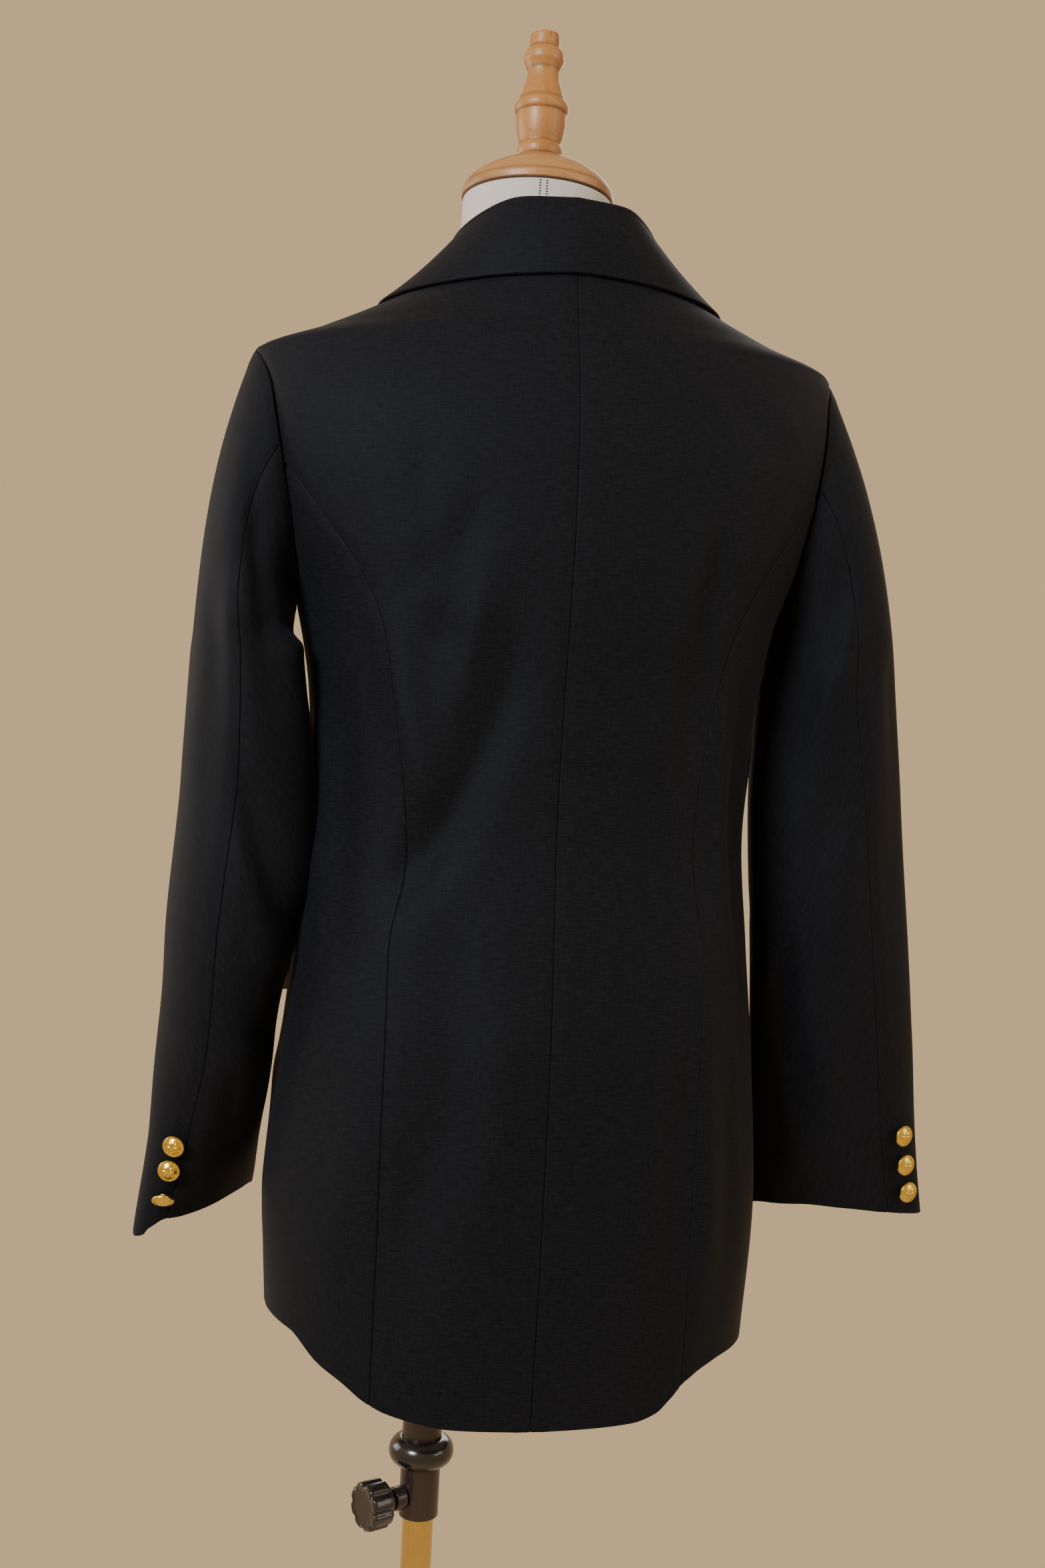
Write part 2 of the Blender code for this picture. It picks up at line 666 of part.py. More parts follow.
def build_lapel(word, side):
    rows = []
    for r in range(11):
        share = r / 10
        row = []
        for c in range(6):
            across = c / 5
            top = mix(LAPEL_TOP, LAPEL_NOTCH, across)
            height = mix(LAPEL_LOW, top, share)
            grown = min((height - LAPEL_LOW) / (LAPEL_NOTCH - LAPEL_LOW), 1.0)
            width = mix(LAPEL_FOOT, LAPEL_WIDTH, grown ** LAPEL_GROWTH)
            turn = turn_of_x(edge_x(height) + LAPEL_START + width * across, height, True)
            normal = body_normal(side, turn, height)
            lift = CLOTH + LAPEL_LIFT + overlap_lift(side, turn)
            row.append((body_point(side, turn, height) + normal * lift, normal))
        rows.append(row)
    cloth_wall("lapel_" + word, rows)


def build_flap(word, side, flare):
    rows = []
    for r in range(6):
        share = r / 5
        row = []
        for c in range(9):
            across = c / 8
            turn = mix(FLAP_FROM, FLAP_TO, across)
            height = FLAP_TOP - share * FLAP_DEPTH - FLAP_SLANT * across
            normal = body_normal(side, turn, height)
            stand_off = flare * share ** 1.5 * (1 - 0.8 * across)
            lift = CLOTH + FLAP_LIFT + stand_off
            row.append((body_point(side, turn, height) + normal * lift, normal))
        rows.append(row)
    cloth_wall("flap_" + word, rows)


# Turned pieces

def plain_rim(radius, step):
    return radius


def turned(name, profile, centre, material, sides, axis=Vector((0, 0, 1)), rim=plain_rim):
    """A solid turned from (along, radius) points about an axis, closed at both ends."""
    helper = Vector((1, 0, 0)) if abs(axis.x) < 0.9 else Vector((0, 1, 0))
    u = (helper - axis * helper.dot(axis)).normalized()
    v = axis.cross(u)
    sheet = bmesh.new()
    rings = []
    for along, radius in profile:
        if radius == 0:
            rings.append([sheet.verts.new(centre + axis * along)])
            continue
        ring = []
        for step in range(sides):
            angle = 2 * pi * step / sides
            spoke = (u * cos(angle) + v * sin(angle)) * rim(radius, step)
            ring.append(sheet.verts.new(centre + axis * along + spoke))
        rings.append(ring)
    if profile[0][1] > 0:
        rings.append(rings[0])
    for low, high in zip(rings, rings[1:]):
        for step in range(sides):
            after = (step + 1) % sides
            if len(low) == 1:
                sheet.faces.new((low[0], high[step], high[after]))
            elif len(high) == 1:
                sheet.faces.new((low[step], low[after], high[0]))
            else:
                sheet.faces.new((low[step], low[after], high[after], high[step]))
    return make_object(name, sheet, material)


def build_button(name, point, normal, radius):
    """A domed shank button whose shank ends just above the cloth."""
    rim = SHANK_TOP
    profile = [(SEAM, 0.0), (SEAM, SHANK_R), (rim, SHANK_R), (rim + 0.0002, 0.93 * radius),
               (rim + 0.0011, radius), (rim + 0.0022, 0.94 * radius), (rim + 0.0036, 0.72 * radius),
               (rim + 0.0045, 0.38 * radius), (rim + 0.0048, 0.0)]
    place = settle(point)
    turned(name, profile, place, "gold metal", BUTTON_SIDES, normal)


def build_front_button():
    height = BREAK_HEIGHT - FRONT_BUTTON_DROP
    normal = body_normal(-1, pi, height)
    point = body_point(-1, pi, height) + normal * (overlap_lift(-1, pi) + FRONT_BUTTON_LIFT)
    build_button("front_button", point, normal, FRONT_BUTTON_R)


# The dress form

def build_form():
    """One smooth closed solid with a blind socket for the pole in its underside."""
    columns = 32
    sheet = bmesh.new()
    form_at = reader(FORM)
    heights = (-0.352, -0.340, -0.300, -0.245, -0.190, -0.140, -0.095, -0.050, -0.010, 0.030, 0.070,
               0.115, 0.157, 0.192, 0.225, 0.250, 0.272, 0.289, 0.301, 0.310, 0.320, 0.330)
    rings = []

    def around(step):
        share = step / columns * 2
        return (1, share * pi) if share <= 1 else (-1, (2 - share) * pi)

    for height in heights:
        clearance, lean = form_at(height)
        ring = []
        for step in range(columns):
            side, turn = around(step)
            point = body_point(side, turn, height) - body_normal(side, turn, height) * (CLOTH + clearance)
            ring.append(Vector((point.x + lean, point.y, point.z)))
        rings.append(ring)
    for point in rings[0]:
        point.z = FORM_FLOOR
    for height, radius in NECK_ROWS + ((NECK_TOP, NECK_R - 0.0003),):
        ring = []
        for step in range(columns):
            angle = 2 * pi * step / columns
            ring.append(Vector((NECK_X + radius * sin(angle), NECK_Y + radius * cos(angle), height)))
        rings.append(ring)
    verts = [[sheet.verts.new(settle(point)) for point in ring] for ring in rings]
    for height in (WAIST + FORM_FLOOR, SOCKET_TOP):
        ring = []
        for step in range(columns):
            angle = 2 * pi * step / columns
            ring.append(sheet.verts.new((SOCKET_R * sin(angle), SOCKET_R * cos(angle), height)))
        verts.insert(0, ring)
    for low, high in zip(verts, verts[1:]):
        for step in range(columns):
            after = (step + 1) % columns
            sheet.faces.new((low[step], low[after], high[after], high[step]))
    sheet.faces.new(verts[0])
    sheet.faces.new(verts[-1])
    make_object("dress_form", sheet, "grey jersey")


def build_neck():
    axis_foot = Vector((GARMENT_X + NECK_X, NECK_Y, WAIST))
    turned("neck_cap", CAP_PROFILE, axis_foot, "turned wood", 32)
    turned("finial", FINIAL_PROFILE, axis_foot, "turned wood", 20)


def tube_profile(low, high, inner, outer, soft):
    return [(low, inner), (low, outer - soft), (low + soft, outer), (high - soft, outer),
            (high, outer - soft), (high, inner)]


def ring_profile():
    """Half a doughnut's outside, from its lower to its upper bore edge."""
    bore = TUBE_R + SEAM
    middle = (RING_LOW + RING_HIGH) / 2
    half = (RING_HIGH - RING_LOW) / 2
    points = [(RING_LOW, bore)]
    for step in range(9):
        angle = -pi / 2 + pi * step / 8
        points.append((middle + half * sin(angle), bore + 0.0008 + (RING_R - bore - 0.0008) * cos(angle)))
    points.append((RING_HIGH, bore))
    return points


def build_stand():
    foot = Vector((0, 0, 0))
    base = [(0.0, 0.0), (0.0, BASE_R - 0.003), (0.003, BASE_R), (BASE_EDGE, BASE_R),
            (BASE_EDGE + 0.003, BASE_R - 0.004), (BASE_HEIGHT - 0.002, 0.060), (BASE_HEIGHT, HUB_R + 0.004),
            (BASE_HEIGHT + 0.003, HUB_R), (HUB_TOP - 0.004, HUB_R * 0.8), (HUB_TOP, HUB_R * 0.62),
            (HUB_TOP, 0.0)]
    turned("base", base, foot, "brass", 36)
    pole = [(HUB_TOP + SEAM, 0.0), (HUB_TOP + SEAM, POLE_R), (POLE_TOP - 0.001, POLE_R),
            (POLE_TOP, POLE_R - 0.001), (POLE_TOP, 0.0)]
    turned("pole", pole, foot, "brass", 32)
    turned("clamp_tube", tube_profile(CLAMP_LOW, CLAMP_HIGH, CLAMP_BORE, TUBE_R, 0.0012), foot,
           "brown black metal", 32)
    turned("clamp_ring", ring_profile(), foot, "black plastic", 28)
    turned("form_tube", tube_profile(CLAMP_HIGH + SEAM, WAIST + FORM_FLOOR - SEAM, SOCKET_R, TUBE_R, 0.0004),
           foot, "brown black metal", 32)


def fluted(radius, step):
    """The knob's radius at a step round it, smaller in the finger grooves of its rim."""
    in_groove = radius > KNOB_R * FLUTED_FROM and step % FLUTE_EVERY == 0
    return radius * (1 - FLUTE_DEPTH) if in_groove else radius


def build_knob():
    """The clamp's boss and its fluted knob, whose screw runs through the boss."""
    foot = Vector((0, 0, KNOB_HEIGHT))
    boss = tube_profile(TUBE_R + SEAM, TUBE_R + BOSS_LENGTH, 0.0034, 0.0078, 0.0012)
    turned("clamp_boss", boss, foot, "brown black metal", 20, KNOB_AXIS)
    start = TUBE_R + BOSS_LENGTH + 0.002
    profile = [(TUBE_R + 0.0012, 0.0), (TUBE_R + 0.0012, 0.0030), (start, 0.0030), (start, 0.0075),
               (start + 0.004, 0.0085), (start + 0.0055, KNOB_R - 0.001), (start + 0.0070, KNOB_R),
               (start + KNOB_LENGTH - 0.002, KNOB_R), (start + KNOB_LENGTH, KNOB_R - 0.002),
               (start + KNOB_LENGTH, 0.0)]
    turned("clamp_knob", profile, foot, "black plastic", KNOB_SIDES, KNOB_AXIS, fluted)


build_body()
build_sleeve("left", 1, LEFT_SLEEVE)
build_sleeve("right", -1, RIGHT_SLEEVE)
build_collar()
for side_sign, side_word, side_flare in ((1, "left", LEFT_FLARE), (-1, "right", RIGHT_FLARE)):
    build_lapel(side_word, side_sign)
    build_flap(side_word, side_sign, side_flare)
build_front_button()
build_form()
build_neck()
build_stand()
build_knob()
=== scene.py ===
# %% [markdown]
# # A tailored blazer on a dress form
#
# The CAD model holds the blazer as plain walls of cloth. This lesson dresses it: the same
# panels are cut again from the same curves, but finer, with their folds, seams and weave, and
# the form, its turned wood and its stand get their real finishes. Everything is in metres,
# +Z is up, the blazer's front faces -Y and the wearer's left is +X.

# %% Load the plain model
import json
from math import cos, pi, radians, sin

import bmesh
import bpy
import numpy as np
from mathutils import Matrix, Vector

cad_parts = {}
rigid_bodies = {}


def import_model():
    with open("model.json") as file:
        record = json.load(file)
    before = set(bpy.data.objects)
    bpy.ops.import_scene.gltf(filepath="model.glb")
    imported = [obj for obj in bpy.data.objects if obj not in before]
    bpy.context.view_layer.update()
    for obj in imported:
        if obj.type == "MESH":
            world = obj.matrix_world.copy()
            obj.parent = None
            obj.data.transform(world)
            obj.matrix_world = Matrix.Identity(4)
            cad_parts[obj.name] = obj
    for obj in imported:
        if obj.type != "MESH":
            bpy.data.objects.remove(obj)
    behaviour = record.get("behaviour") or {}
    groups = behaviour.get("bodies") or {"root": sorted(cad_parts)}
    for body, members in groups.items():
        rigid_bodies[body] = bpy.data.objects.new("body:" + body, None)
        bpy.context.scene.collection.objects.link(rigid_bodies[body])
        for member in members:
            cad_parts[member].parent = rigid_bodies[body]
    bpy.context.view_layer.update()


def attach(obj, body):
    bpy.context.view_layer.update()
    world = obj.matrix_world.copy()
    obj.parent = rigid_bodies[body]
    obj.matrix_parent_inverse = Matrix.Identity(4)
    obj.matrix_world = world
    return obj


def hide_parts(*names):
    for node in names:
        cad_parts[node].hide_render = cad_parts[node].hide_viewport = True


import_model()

# %% [markdown]
# ## Camera
#
# The picture was taken from behind, ten degrees round to the wearer's left, at waist height
# and with the camera held a little crooked, so everything in it leans to the right. A long
# side of 36 mm and a lens of 38 mm give the picture's perspective.

# %% The camera and the light
WAIST = 1.06                # height of the waist above the floor
GARMENT_X = -0.052          # the garment's middle plane, beside the pole
CAMERA_TURN = radians(170)
CAMERA_DISTANCE = 1.15
CAMERA_ROLL = radians(2.77)
AIM = Vector((GARMENT_X + 0.004, 0.0, WAIST + 0.0035))


def add_object(name, data):
    """An object of that name in the scene."""
    thing = bpy.data.objects.new(name, data)
    bpy.context.scene.collection.objects.link(thing)
    return thing


def aim_at(place, target):
    """The turn that points a camera or a lamp from a place to a target."""
    return (place - target).to_track_quat("Z", "Y").to_matrix().to_4x4()


lens = bpy.data.cameras.new("camera")
lens.lens = 38.3
lens.sensor_width = 36.0
lens.clip_start = 0.02
camera = add_object("camera", lens)
stand_off = Vector((sin(CAMERA_TURN), -cos(CAMERA_TURN), 0.0)) * CAMERA_DISTANCE
roll = Matrix.Rotation(CAMERA_ROLL, 4, "Z")
camera.matrix_world = Matrix.Translation(AIM + stand_off) @ aim_at(AIM + stand_off, AIM) @ roll
bpy.context.scene.camera = camera


def add_lamp(name, place, target, size, power, colour):
    """A soft square lamp."""
    lamp = bpy.data.lights.new(name, "AREA")
    lamp.size = size
    lamp.energy = power
    lamp.color = colour
    thing = add_object(name, lamp)
    thing.matrix_world = Matrix.Translation(place) @ aim_at(place, target)
    return thing


CHEST = Vector((GARMENT_X, 0.0, WAIST + 0.05))
add_lamp("window light", Vector((1.7, 1.9, 2.2)), CHEST, 0.9, 84, (0.94, 0.97, 1.0))
add_lamp("fill light", Vector((-2.2, 1.4, 1.9)), CHEST, 1.6, 20, (1.0, 0.98, 0.95))
add_lamp("front light", Vector((-1.0, -2.4, 2.3)), CHEST, 1.8, 36, (1.0, 0.98, 0.96))
add_lamp("side light", Vector((2.4, -1.2, 1.6)), CHEST, 1.4, 26, (1.0, 0.98, 0.96))

world = bpy.data.worlds.new("studio")
bpy.context.scene.world = world
world.use_nodes = True
sky = world.node_tree.nodes["Background"]
sky.inputs["Color"].default_value = (0.78, 0.545, 0.30, 1.0)
sky.inputs["Strength"].default_value = 0.85
print("camera at", list(camera.location))

# %% [markdown]
# ## Finishes
#
# Every finish is worked out by nodes. `Wire` lets a socket be used in a sum, so a weave can be
# written as the formula that it is. Threads follow the cut of each panel, so cloth reads the
# piece's own map, which is in metres along and across the cloth. Wood and metal read places
# on the object.

# %% A small language for shaders
class Wire:
    """One output socket, which can be added, taken away and multiplied."""

    def __init__(self, paint, socket):
        self.paint = paint
        self.socket = socket

    def math(self, operation, *values):
        return self.paint.node("ShaderNodeMath", {"operation": operation}, dict(enumerate(values)))

    def __add__(self, other):
        return self.math("ADD", self, other)

    __radd__ = __add__

    def __sub__(self, other):
        return self.math("SUBTRACT", self, other)

    def __rsub__(self, other):
        return self.math("SUBTRACT", other, self)

    def __mul__(self, other):
        return self.math("MULTIPLY", self, other)

    def sine(self):
        return self.math("SINE", self)

    def ramp(self, low, high, to_low=0.0, to_high=1.0):
        """A soft step of this value from one number to another."""
        sockets = {"Value": self, "From Min": low, "From Max": high, "To Min": to_low, "To Max": to_high}
        return self.paint.node("ShaderNodeMapRange", {"interpolation_type": "SMOOTHSTEP"}, sockets)


class Paint:
    """A material in the making. node() adds any node and returns its output."""

    def __init__(self, name):
        self.material = bpy.data.materials.new(name)
        self.material.use_nodes = True
        self.tree = self.material.node_tree
        self.shader = self.tree.nodes["Principled BSDF"]

    def node(self, kind, settings=None, sockets=None, out=0):
        made = self.tree.nodes.new(kind)
        for key, value in (settings or {}).items():
            setattr(made, key, value)
        for key, value in (sockets or {}).items():
            self.feed(made.inputs[key], value)
        return Wire(self, made.outputs[out])

    def feed(self, socket, value):
        if isinstance(value, Wire):
            self.tree.links.new(value.socket, socket)
        else:
            socket.default_value = value

    def place(self):
        return self.node("ShaderNodeTexCoord", out="Object")

    def cut(self):
        """Metres across and along the cloth."""
        cloth = self.node("ShaderNodeUVMap", {"uv_map": "cut"})
        parts = self.node("ShaderNodeSeparateXYZ", None, {0: cloth}).socket.node.outputs
        return Wire(self, parts[0]), Wire(self, parts[1])

    def stretched(self, vector, x, y, z):
        return self.node("ShaderNodeVectorMath", {"operation": "MULTIPLY"}, {0: vector, 1: (x, y, z)})

    def noise(self, vector, scale, detail=2.0, roughness=0.5):
        sockets = {"Vector": vector, "Scale": scale, "Detail": detail, "Roughness": roughness}
        return self.node("ShaderNodeTexNoise", None, sockets)

    def colour(self, amount, low, high):
        """A colour between two, or between two other mixes."""
        sockets = {0: amount, 6: low, 7: high}
        return self.node("ShaderNodeMix", {"data_type": "RGBA"}, sockets, out=2)

    def bump(self, height, depth, strength=1.0):
        sockets = {"Height": height, "Distance": depth, "Strength": strength}
        return self.node("ShaderNodeBump", None, sockets)

    def finish(self, **sockets):
        """Sets the shader's sockets; an underline in a name stands for a space."""
        for key, value in sockets.items():
            self.feed(self.shader.inputs[key.replace("_", " ")], value)
        return self.material


def shade(red, green, blue):
    return (red, green, blue, 1.0)


# %% [markdown]
# ### The suiting
#
# The cloth is a fine black twill with a soft, faintly blue sheen. Its diagonal ribs are half a
# millimetre apart, its yarns differ a little from one to the next, and the pressed edges beside
# the seams have grown a touch smoother with wear. Beside the seams and edges the colour is also
# a little darker, which is painted shade.

# %% The suiting, its lining and its thread
TWILL = 0.00055             # from one rib of the weave to the next
LINING_RIB = 0.0004


def suiting_cloth():
    paint = Paint("black suiting")
    across, along = paint.cut()
    rib = ((across + along) * (2 * pi / TWILL)).sine() * 0.5 + 0.5
    pick = (across * (2 * pi / TWILL * 0.5)).sine() * 0.5 + 0.5
    flat = paint.node("ShaderNodeCombineXYZ", None, {0: across, 1: along})
    yarns = paint.noise(paint.stretched(flat, 1800.0, 60.0, 1.0), 1.0)
    weft = paint.noise(paint.stretched(flat, 60.0, 1500.0, 1.0), 1.0)
    slub = paint.noise(paint.stretched(flat, 120.0, 900.0, 1.0), 1.0, 2.0) * 0.6
    slub = slub + paint.noise(paint.stretched(flat, 700.0, 150.0, 1.0), 1.0, 2.0) * 0.4
    cloudy = paint.noise(paint.place(), 26.0, 3.0)
    # Mask that is 1 beside seams and edges: smoother there from real pressing, darker there as painted shade.
    painted_shade_mask = paint.node("ShaderNodeAttribute", {"attribute_name": "pressed_and_edge_shade"}, out="Fac")
    pressed_shine_and_edge_shade = painted_shade_mask * paint.noise(paint.place(), 55.0, 2.0)
    # The last term darkens the colour beside the seams and edges: painted shade.
    lightness = rib * 0.20 + pick * 0.06 + yarns * 0.26 + weft * 0.18 + cloudy * 0.16 - pressed_shine_and_edge_shade * 0.10
    lightness = lightness + (slub - 0.5) * 2.6 + 0.06
    colour = paint.colour(lightness, shade(0.0011, 0.0012, 0.0018), shade(0.0066, 0.0070, 0.0104))
    rough = 0.72 - pressed_shine_and_edge_shade * 0.06 + (cloudy - 0.5) * 0.08
    weave = paint.bump(rib * 0.55 + yarns * 0.45 + weft * 0.3, 0.00007, 0.5)
    return paint.finish(Base_Color=colour, Roughness=rough, Normal=weave, Sheen_Weight=0.045,
                        Sheen_Roughness=0.40, Sheen_Tint=shade(0.56, 0.66, 0.96), Specular_IOR_Level=0.15,
                        Specular_Tint=shade(0.74, 0.86, 1.0))


def lining_cloth():
    paint = Paint("black lining")
    across, along = paint.cut()
    rib = (along * (2 * pi / LINING_RIB)).sine() * 0.5 + 0.5
    streak = paint.noise(paint.stretched(paint.place(), 40.0, 40.0, 3.0), 1.0, 3.0)
    colour = paint.colour(streak, shade(0.006, 0.006, 0.0075), shade(0.017, 0.017, 0.021))
    return paint.finish(Base_Color=colour, Roughness=0.30 + rib * 0.08, Normal=paint.bump(rib, 0.00002, 0.4),
                        Specular_IOR_Level=0.5)


def silk_thread():
    paint = Paint("black thread")
    twist = paint.noise(paint.place(), 2600.0, 1.0)
    colour = paint.colour(twist, shade(0.006, 0.006, 0.007), shade(0.03, 0.03, 0.034))
    return paint.finish(Base_Color=colour, Roughness=0.42, Normal=paint.bump(twist, 0.00003, 0.5))


SUITING = suiting_cloth()
LINING = lining_cloth()
THREAD = silk_thread()
print("cloth finishes:", SUITING.name, LINING.name, THREAD.name)

# %% [markdown]
# ### Jersey, wood, brass and the dark metal
#
# The form is covered in pale grey jersey, knitted in fine ribs. Its cap and its finial are
# turned from a light hardwood under satin lacquer, with painted shade in narrow rings at the grooves.
# The pole is polished brass, the clamp is satin brown-black metal with a hard plastic knob.

# %% The other finishes
def jersey():
    paint = Paint("grey jersey")
    place = paint.place()
    knit = paint.noise(paint.stretched(place, 900.0, 900.0, 420.0), 1.0, 1.0)
    tone = paint.noise(place, 18.0, 3.0)
    colour = paint.colour(knit * 0.4 + tone * 0.6, shade(0.40, 0.385, 0.37), shade(0.62, 0.60, 0.58))
    return paint.finish(Base_Color=colour, Roughness=0.82, Normal=paint.bump(knit, 0.00015, 0.5),
                        Sheen_Weight=0.2, Sheen_Roughness=0.5)


def turned_wood(name, dark, light, grain_turn):
    """Grain that runs along the turning, with fine pores, darker rings and painted shade in the grooves."""
    paint = Paint(name)
    sockets = {"Vector": paint.place(), "Rotation": (0.0, grain_turn, 0.3)}
    turned_place = paint.node("ShaderNodeMapping", None, sockets)
    wave = paint.noise(paint.stretched(turned_place, 7.0, 7.0, 1.4), 1.0, 3.0)
    lines = paint.noise(paint.stretched(turned_place, 260.0, 260.0, 9.0), 1.0, 3.0, 0.6)
    rings = (wave * 60.0).sine() * 0.5 + 0.5
    pores = paint.noise(paint.stretched(turned_place, 1400.0, 1400.0, 60.0), 1.0, 1.0).ramp(0.62, 0.74)
    painted_shade_mask = paint.node("ShaderNodeAttribute", {"attribute_name": "ring_shade"}, out="Fac")
    amount = rings * 0.42 + lines * 0.62
    wood = paint.colour(amount, dark, light)
    # Pores are the wood's own; the ring mask darkens the grooves as painted shade.
    wood = paint.colour(pores * 0.5 + painted_shade_mask * 0.55, wood, shade(dark[0] * 0.45, dark[1] * 0.38, dark[2] * 0.3))
    return paint.finish(Base_Color=wood, Roughness=0.40 + lines * 0.12, Coat_Weight=0.12 + lines * 0.1,
                        Coat_Roughness=0.28, Normal=paint.bump(lines - pores * 0.6, 0.0002, 0.5))


def metal(name, low, high, rough, metallic, grain, depth, coat=0.0):
    """Metal or paint whose shade and gloss wander a little, with fine marks in it."""
    paint = Paint(name)
    place = paint.place()
    cloud = paint.noise(place, grain * 0.05, 3.0)
    marks = paint.noise(paint.stretched(place, 1.0, 1.0, 0.12), grain, 2.0)
    colour = paint.colour(cloud * 0.6 + marks * 0.4, low, high)
    roughness = rough + (marks - 0.5) * 0.10 + (cloud - 0.5) * 0.10
    return paint.finish(Base_Color=colour, Roughness=roughness, Metallic=metallic,
                        Normal=paint.bump(marks, depth, 0.4), Coat_Weight=coat, Coat_Roughness=0.08)


JERSEY = jersey()
FINIAL_WOOD = turned_wood("light turned wood", shade(0.21, 0.082, 0.018), shade(0.44, 0.205, 0.055), 0.05)
CAP_WOOD = turned_wood("brown turned wood", shade(0.20, 0.085, 0.028), shade(0.46, 0.235, 0.085), 1.45)
GOLD = metal("gold button metal", shade(0.62, 0.42, 0.06), shade(0.86, 0.64, 0.14), 0.27, 1.0, 900.0, 0.00002)
BRASS = metal("polished brass", shade(0.56, 0.36, 0.10), shade(0.86, 0.62, 0.24), 0.17, 1.0, 700.0, 0.00001)
DARK_METAL = metal("brown black metal", shade(0.020, 0.013, 0.011), shade(0.045, 0.030, 0.026), 0.36, 0.35,
                   800.0, 0.00003, 0.25)
PLASTIC = metal("black plastic", shade(0.004, 0.004, 0.004), shade(0.014, 0.014, 0.014), 0.24, 0.0, 600.0,
                0.00002, 0.3)
print("finishes:", len(bpy.data.materials))

# %% [markdown]
# ## The shape of the body
#
# A blazer is drafted from measures: so wide and so deep at each height. The tables hold those
# measures, and smooth curves join them. A place on the body is a side, a turn from the middle
# of the back (0) to the middle of the front (pi), and a height above the waist.

# %% Measures of the blazer
CLOTH = 0.0016
SEAM = 0.0003
SHOULDER_TILT = 0.006
SHOULDER_REACH = 0.20

BODY = (                    # height, half width, back depth, front depth, squareness
    (-0.400, 0.1600, 0.117, 0.111, 2.40), (-0.357, 0.1628, 0.120, 0.114, 2.40),
    (-0.275, 0.1672, 0.124, 0.118, 2.40), (-0.179, 0.1610, 0.125, 0.117, 2.40),
    (-0.096, 0.1535, 0.119, 0.112, 2.35), (-0.025, 0.1485, 0.111, 0.106, 2.30),
    (0.050, 0.1520, 0.114, 0.114, 2.30), (0.115, 0.1630, 0.122, 0.123, 2.30),
    (0.160, 0.1810, 0.125, 0.121, 2.25), (0.205, 0.1960, 0.124, 0.110, 2.20),
    (0.245, 0.2025, 0.118, 0.094, 2.10), (0.272, 0.2030, 0.110, 0.080, 1.95),
    (0.289, 0.2000, 0.104, 0.071, 1.85), (0.303, 0.1655, 0.099, 0.064, 1.80),
    (0.317, 0.1335, 0.095, 0.058, 1.80), (0.330, 0.1060, 0.091, 0.054, 1.85),
    (0.342, 0.0820, 0.088, 0.051, 1.90), (0.360, 0.0720, 0.083, 0.048, 2.00),
)
LEFT_HEM = (                # degrees round from the middle of the back, height of the hem
    (0, -0.3985), (14, -0.3975), (26, -0.3925), (34, -0.3865), (43, -0.3745), (51, -0.3665),
    (64, -0.351), (78, -0.3495), (90, -0.3515), (118, -0.363), (146, -0.379), (160, -0.380),
    (170, -0.370), (178, -0.350), (187, -0.318),
)
RIGHT_HEM = (
    (0, -0.3985), (20, -0.3965), (27, -0.392), (31, -0.384), (36, -0.374), (43, -0.3675),
    (52, -0.364), (66, -0.3635), (90, -0.3665), (118, -0.371), (146, -0.381), (160, -0.380),
    (170, -0.370), (178, -0.350), (187, -0.318),
)
NECK = ((0, 0.350), (35, 0.3495), (65, 0.346), (90, 0.342), (125, 0.340))
BACK_SEAM = (               # height, distance of the long back seam from the middle plane
    (-0.400, 0.099), (-0.250, 0.101), (-0.110, 0.101), (-0.030, 0.0935), (0.060, 0.1035),
    (0.100, 0.113), (0.139, 0.132), (0.172, 0.155), (0.203, 0.1765),
)
SIDE_SEAM = radians(93)
SHOULDER_SEAM = radians(90)
HEM_LOW = -0.3985
NECK_HIGH = 0.350
ARMHOLE_LOW = 0.115
ARMHOLE_HIGH = 0.289
ARMHOLE_BACK = 0.058
ARMHOLE_FRONT = 0.054
BACK_SEAM_TOP = 0.203
EDGE_REACH = 0.018
BREAK_HEIGHT = 0.015
ROLL_TOP = 0.342
ROLL_TOP_X = 0.0790
ROLL_POWER = 0.92
OVERLAP_FROM = radians(158)
OVERLAP_TO = radians(172)
OVERLAP_GAP = 0.0009
print("back length", round(NECK_HIGH - HEM_LOW, 3), "m")


# %% [markdown]
# The seams, the armholes and the front edges are lines on the body's surface, so each is a turn
# or a distance that depends on the height.

# %% Curves through the measures
def reader(table):
    """Reads a table's columns at any places of its rising first column, without overshoot."""
    rows = np.array(table, float)
    places = rows[:, 0]
    values = rows[:, 1:]
    steps = np.diff(values, axis=0) / np.diff(places)[:, None]
    product = steps[:-1] * steps[1:]
    total = np.where(product > 0, steps[:-1] + steps[1:], 1.0)
    middle = np.where(product > 0, 2 * product / total, 0.0)
    slopes = np.concatenate((steps[:1], middle, steps[-1:]))

    def read(place):
        place = np.clip(np.asarray(place, float), places[0], places[-1])
        row = np.clip(np.searchsorted(places, place) - 1, 0, len(places) - 2)
        span = (places[row + 1] - places[row])[..., None]
        t = (place - places[row])[..., None] / span
        value = ((2 * t ** 3 - 3 * t ** 2 + 1) * values[row] + (t ** 3 - 2 * t ** 2 + t) * span * slopes[row]
                 + (3 * t ** 2 - 2 * t ** 3) * values[row + 1] + (t ** 3 - t ** 2) * span * slopes[row + 1])
        return np.moveaxis(value, -1, 0)
    return read


def ease(value, low, high):
    t = np.clip((value - low) / (high - low), 0.0, 1.0)
    return t * t * (3 - 2 * t)


def mix(a, b, t):
    return a * (1 - t) + b * t


def unit(vectors):
    """Vectors of length one."""
    return vectors / np.maximum(np.linalg.norm(vectors, axis=-1, keepdims=True), 1e-12)


def point(x, y, z):
    return np.stack(np.broadcast_arrays(x, y, z), -1).astype(float)


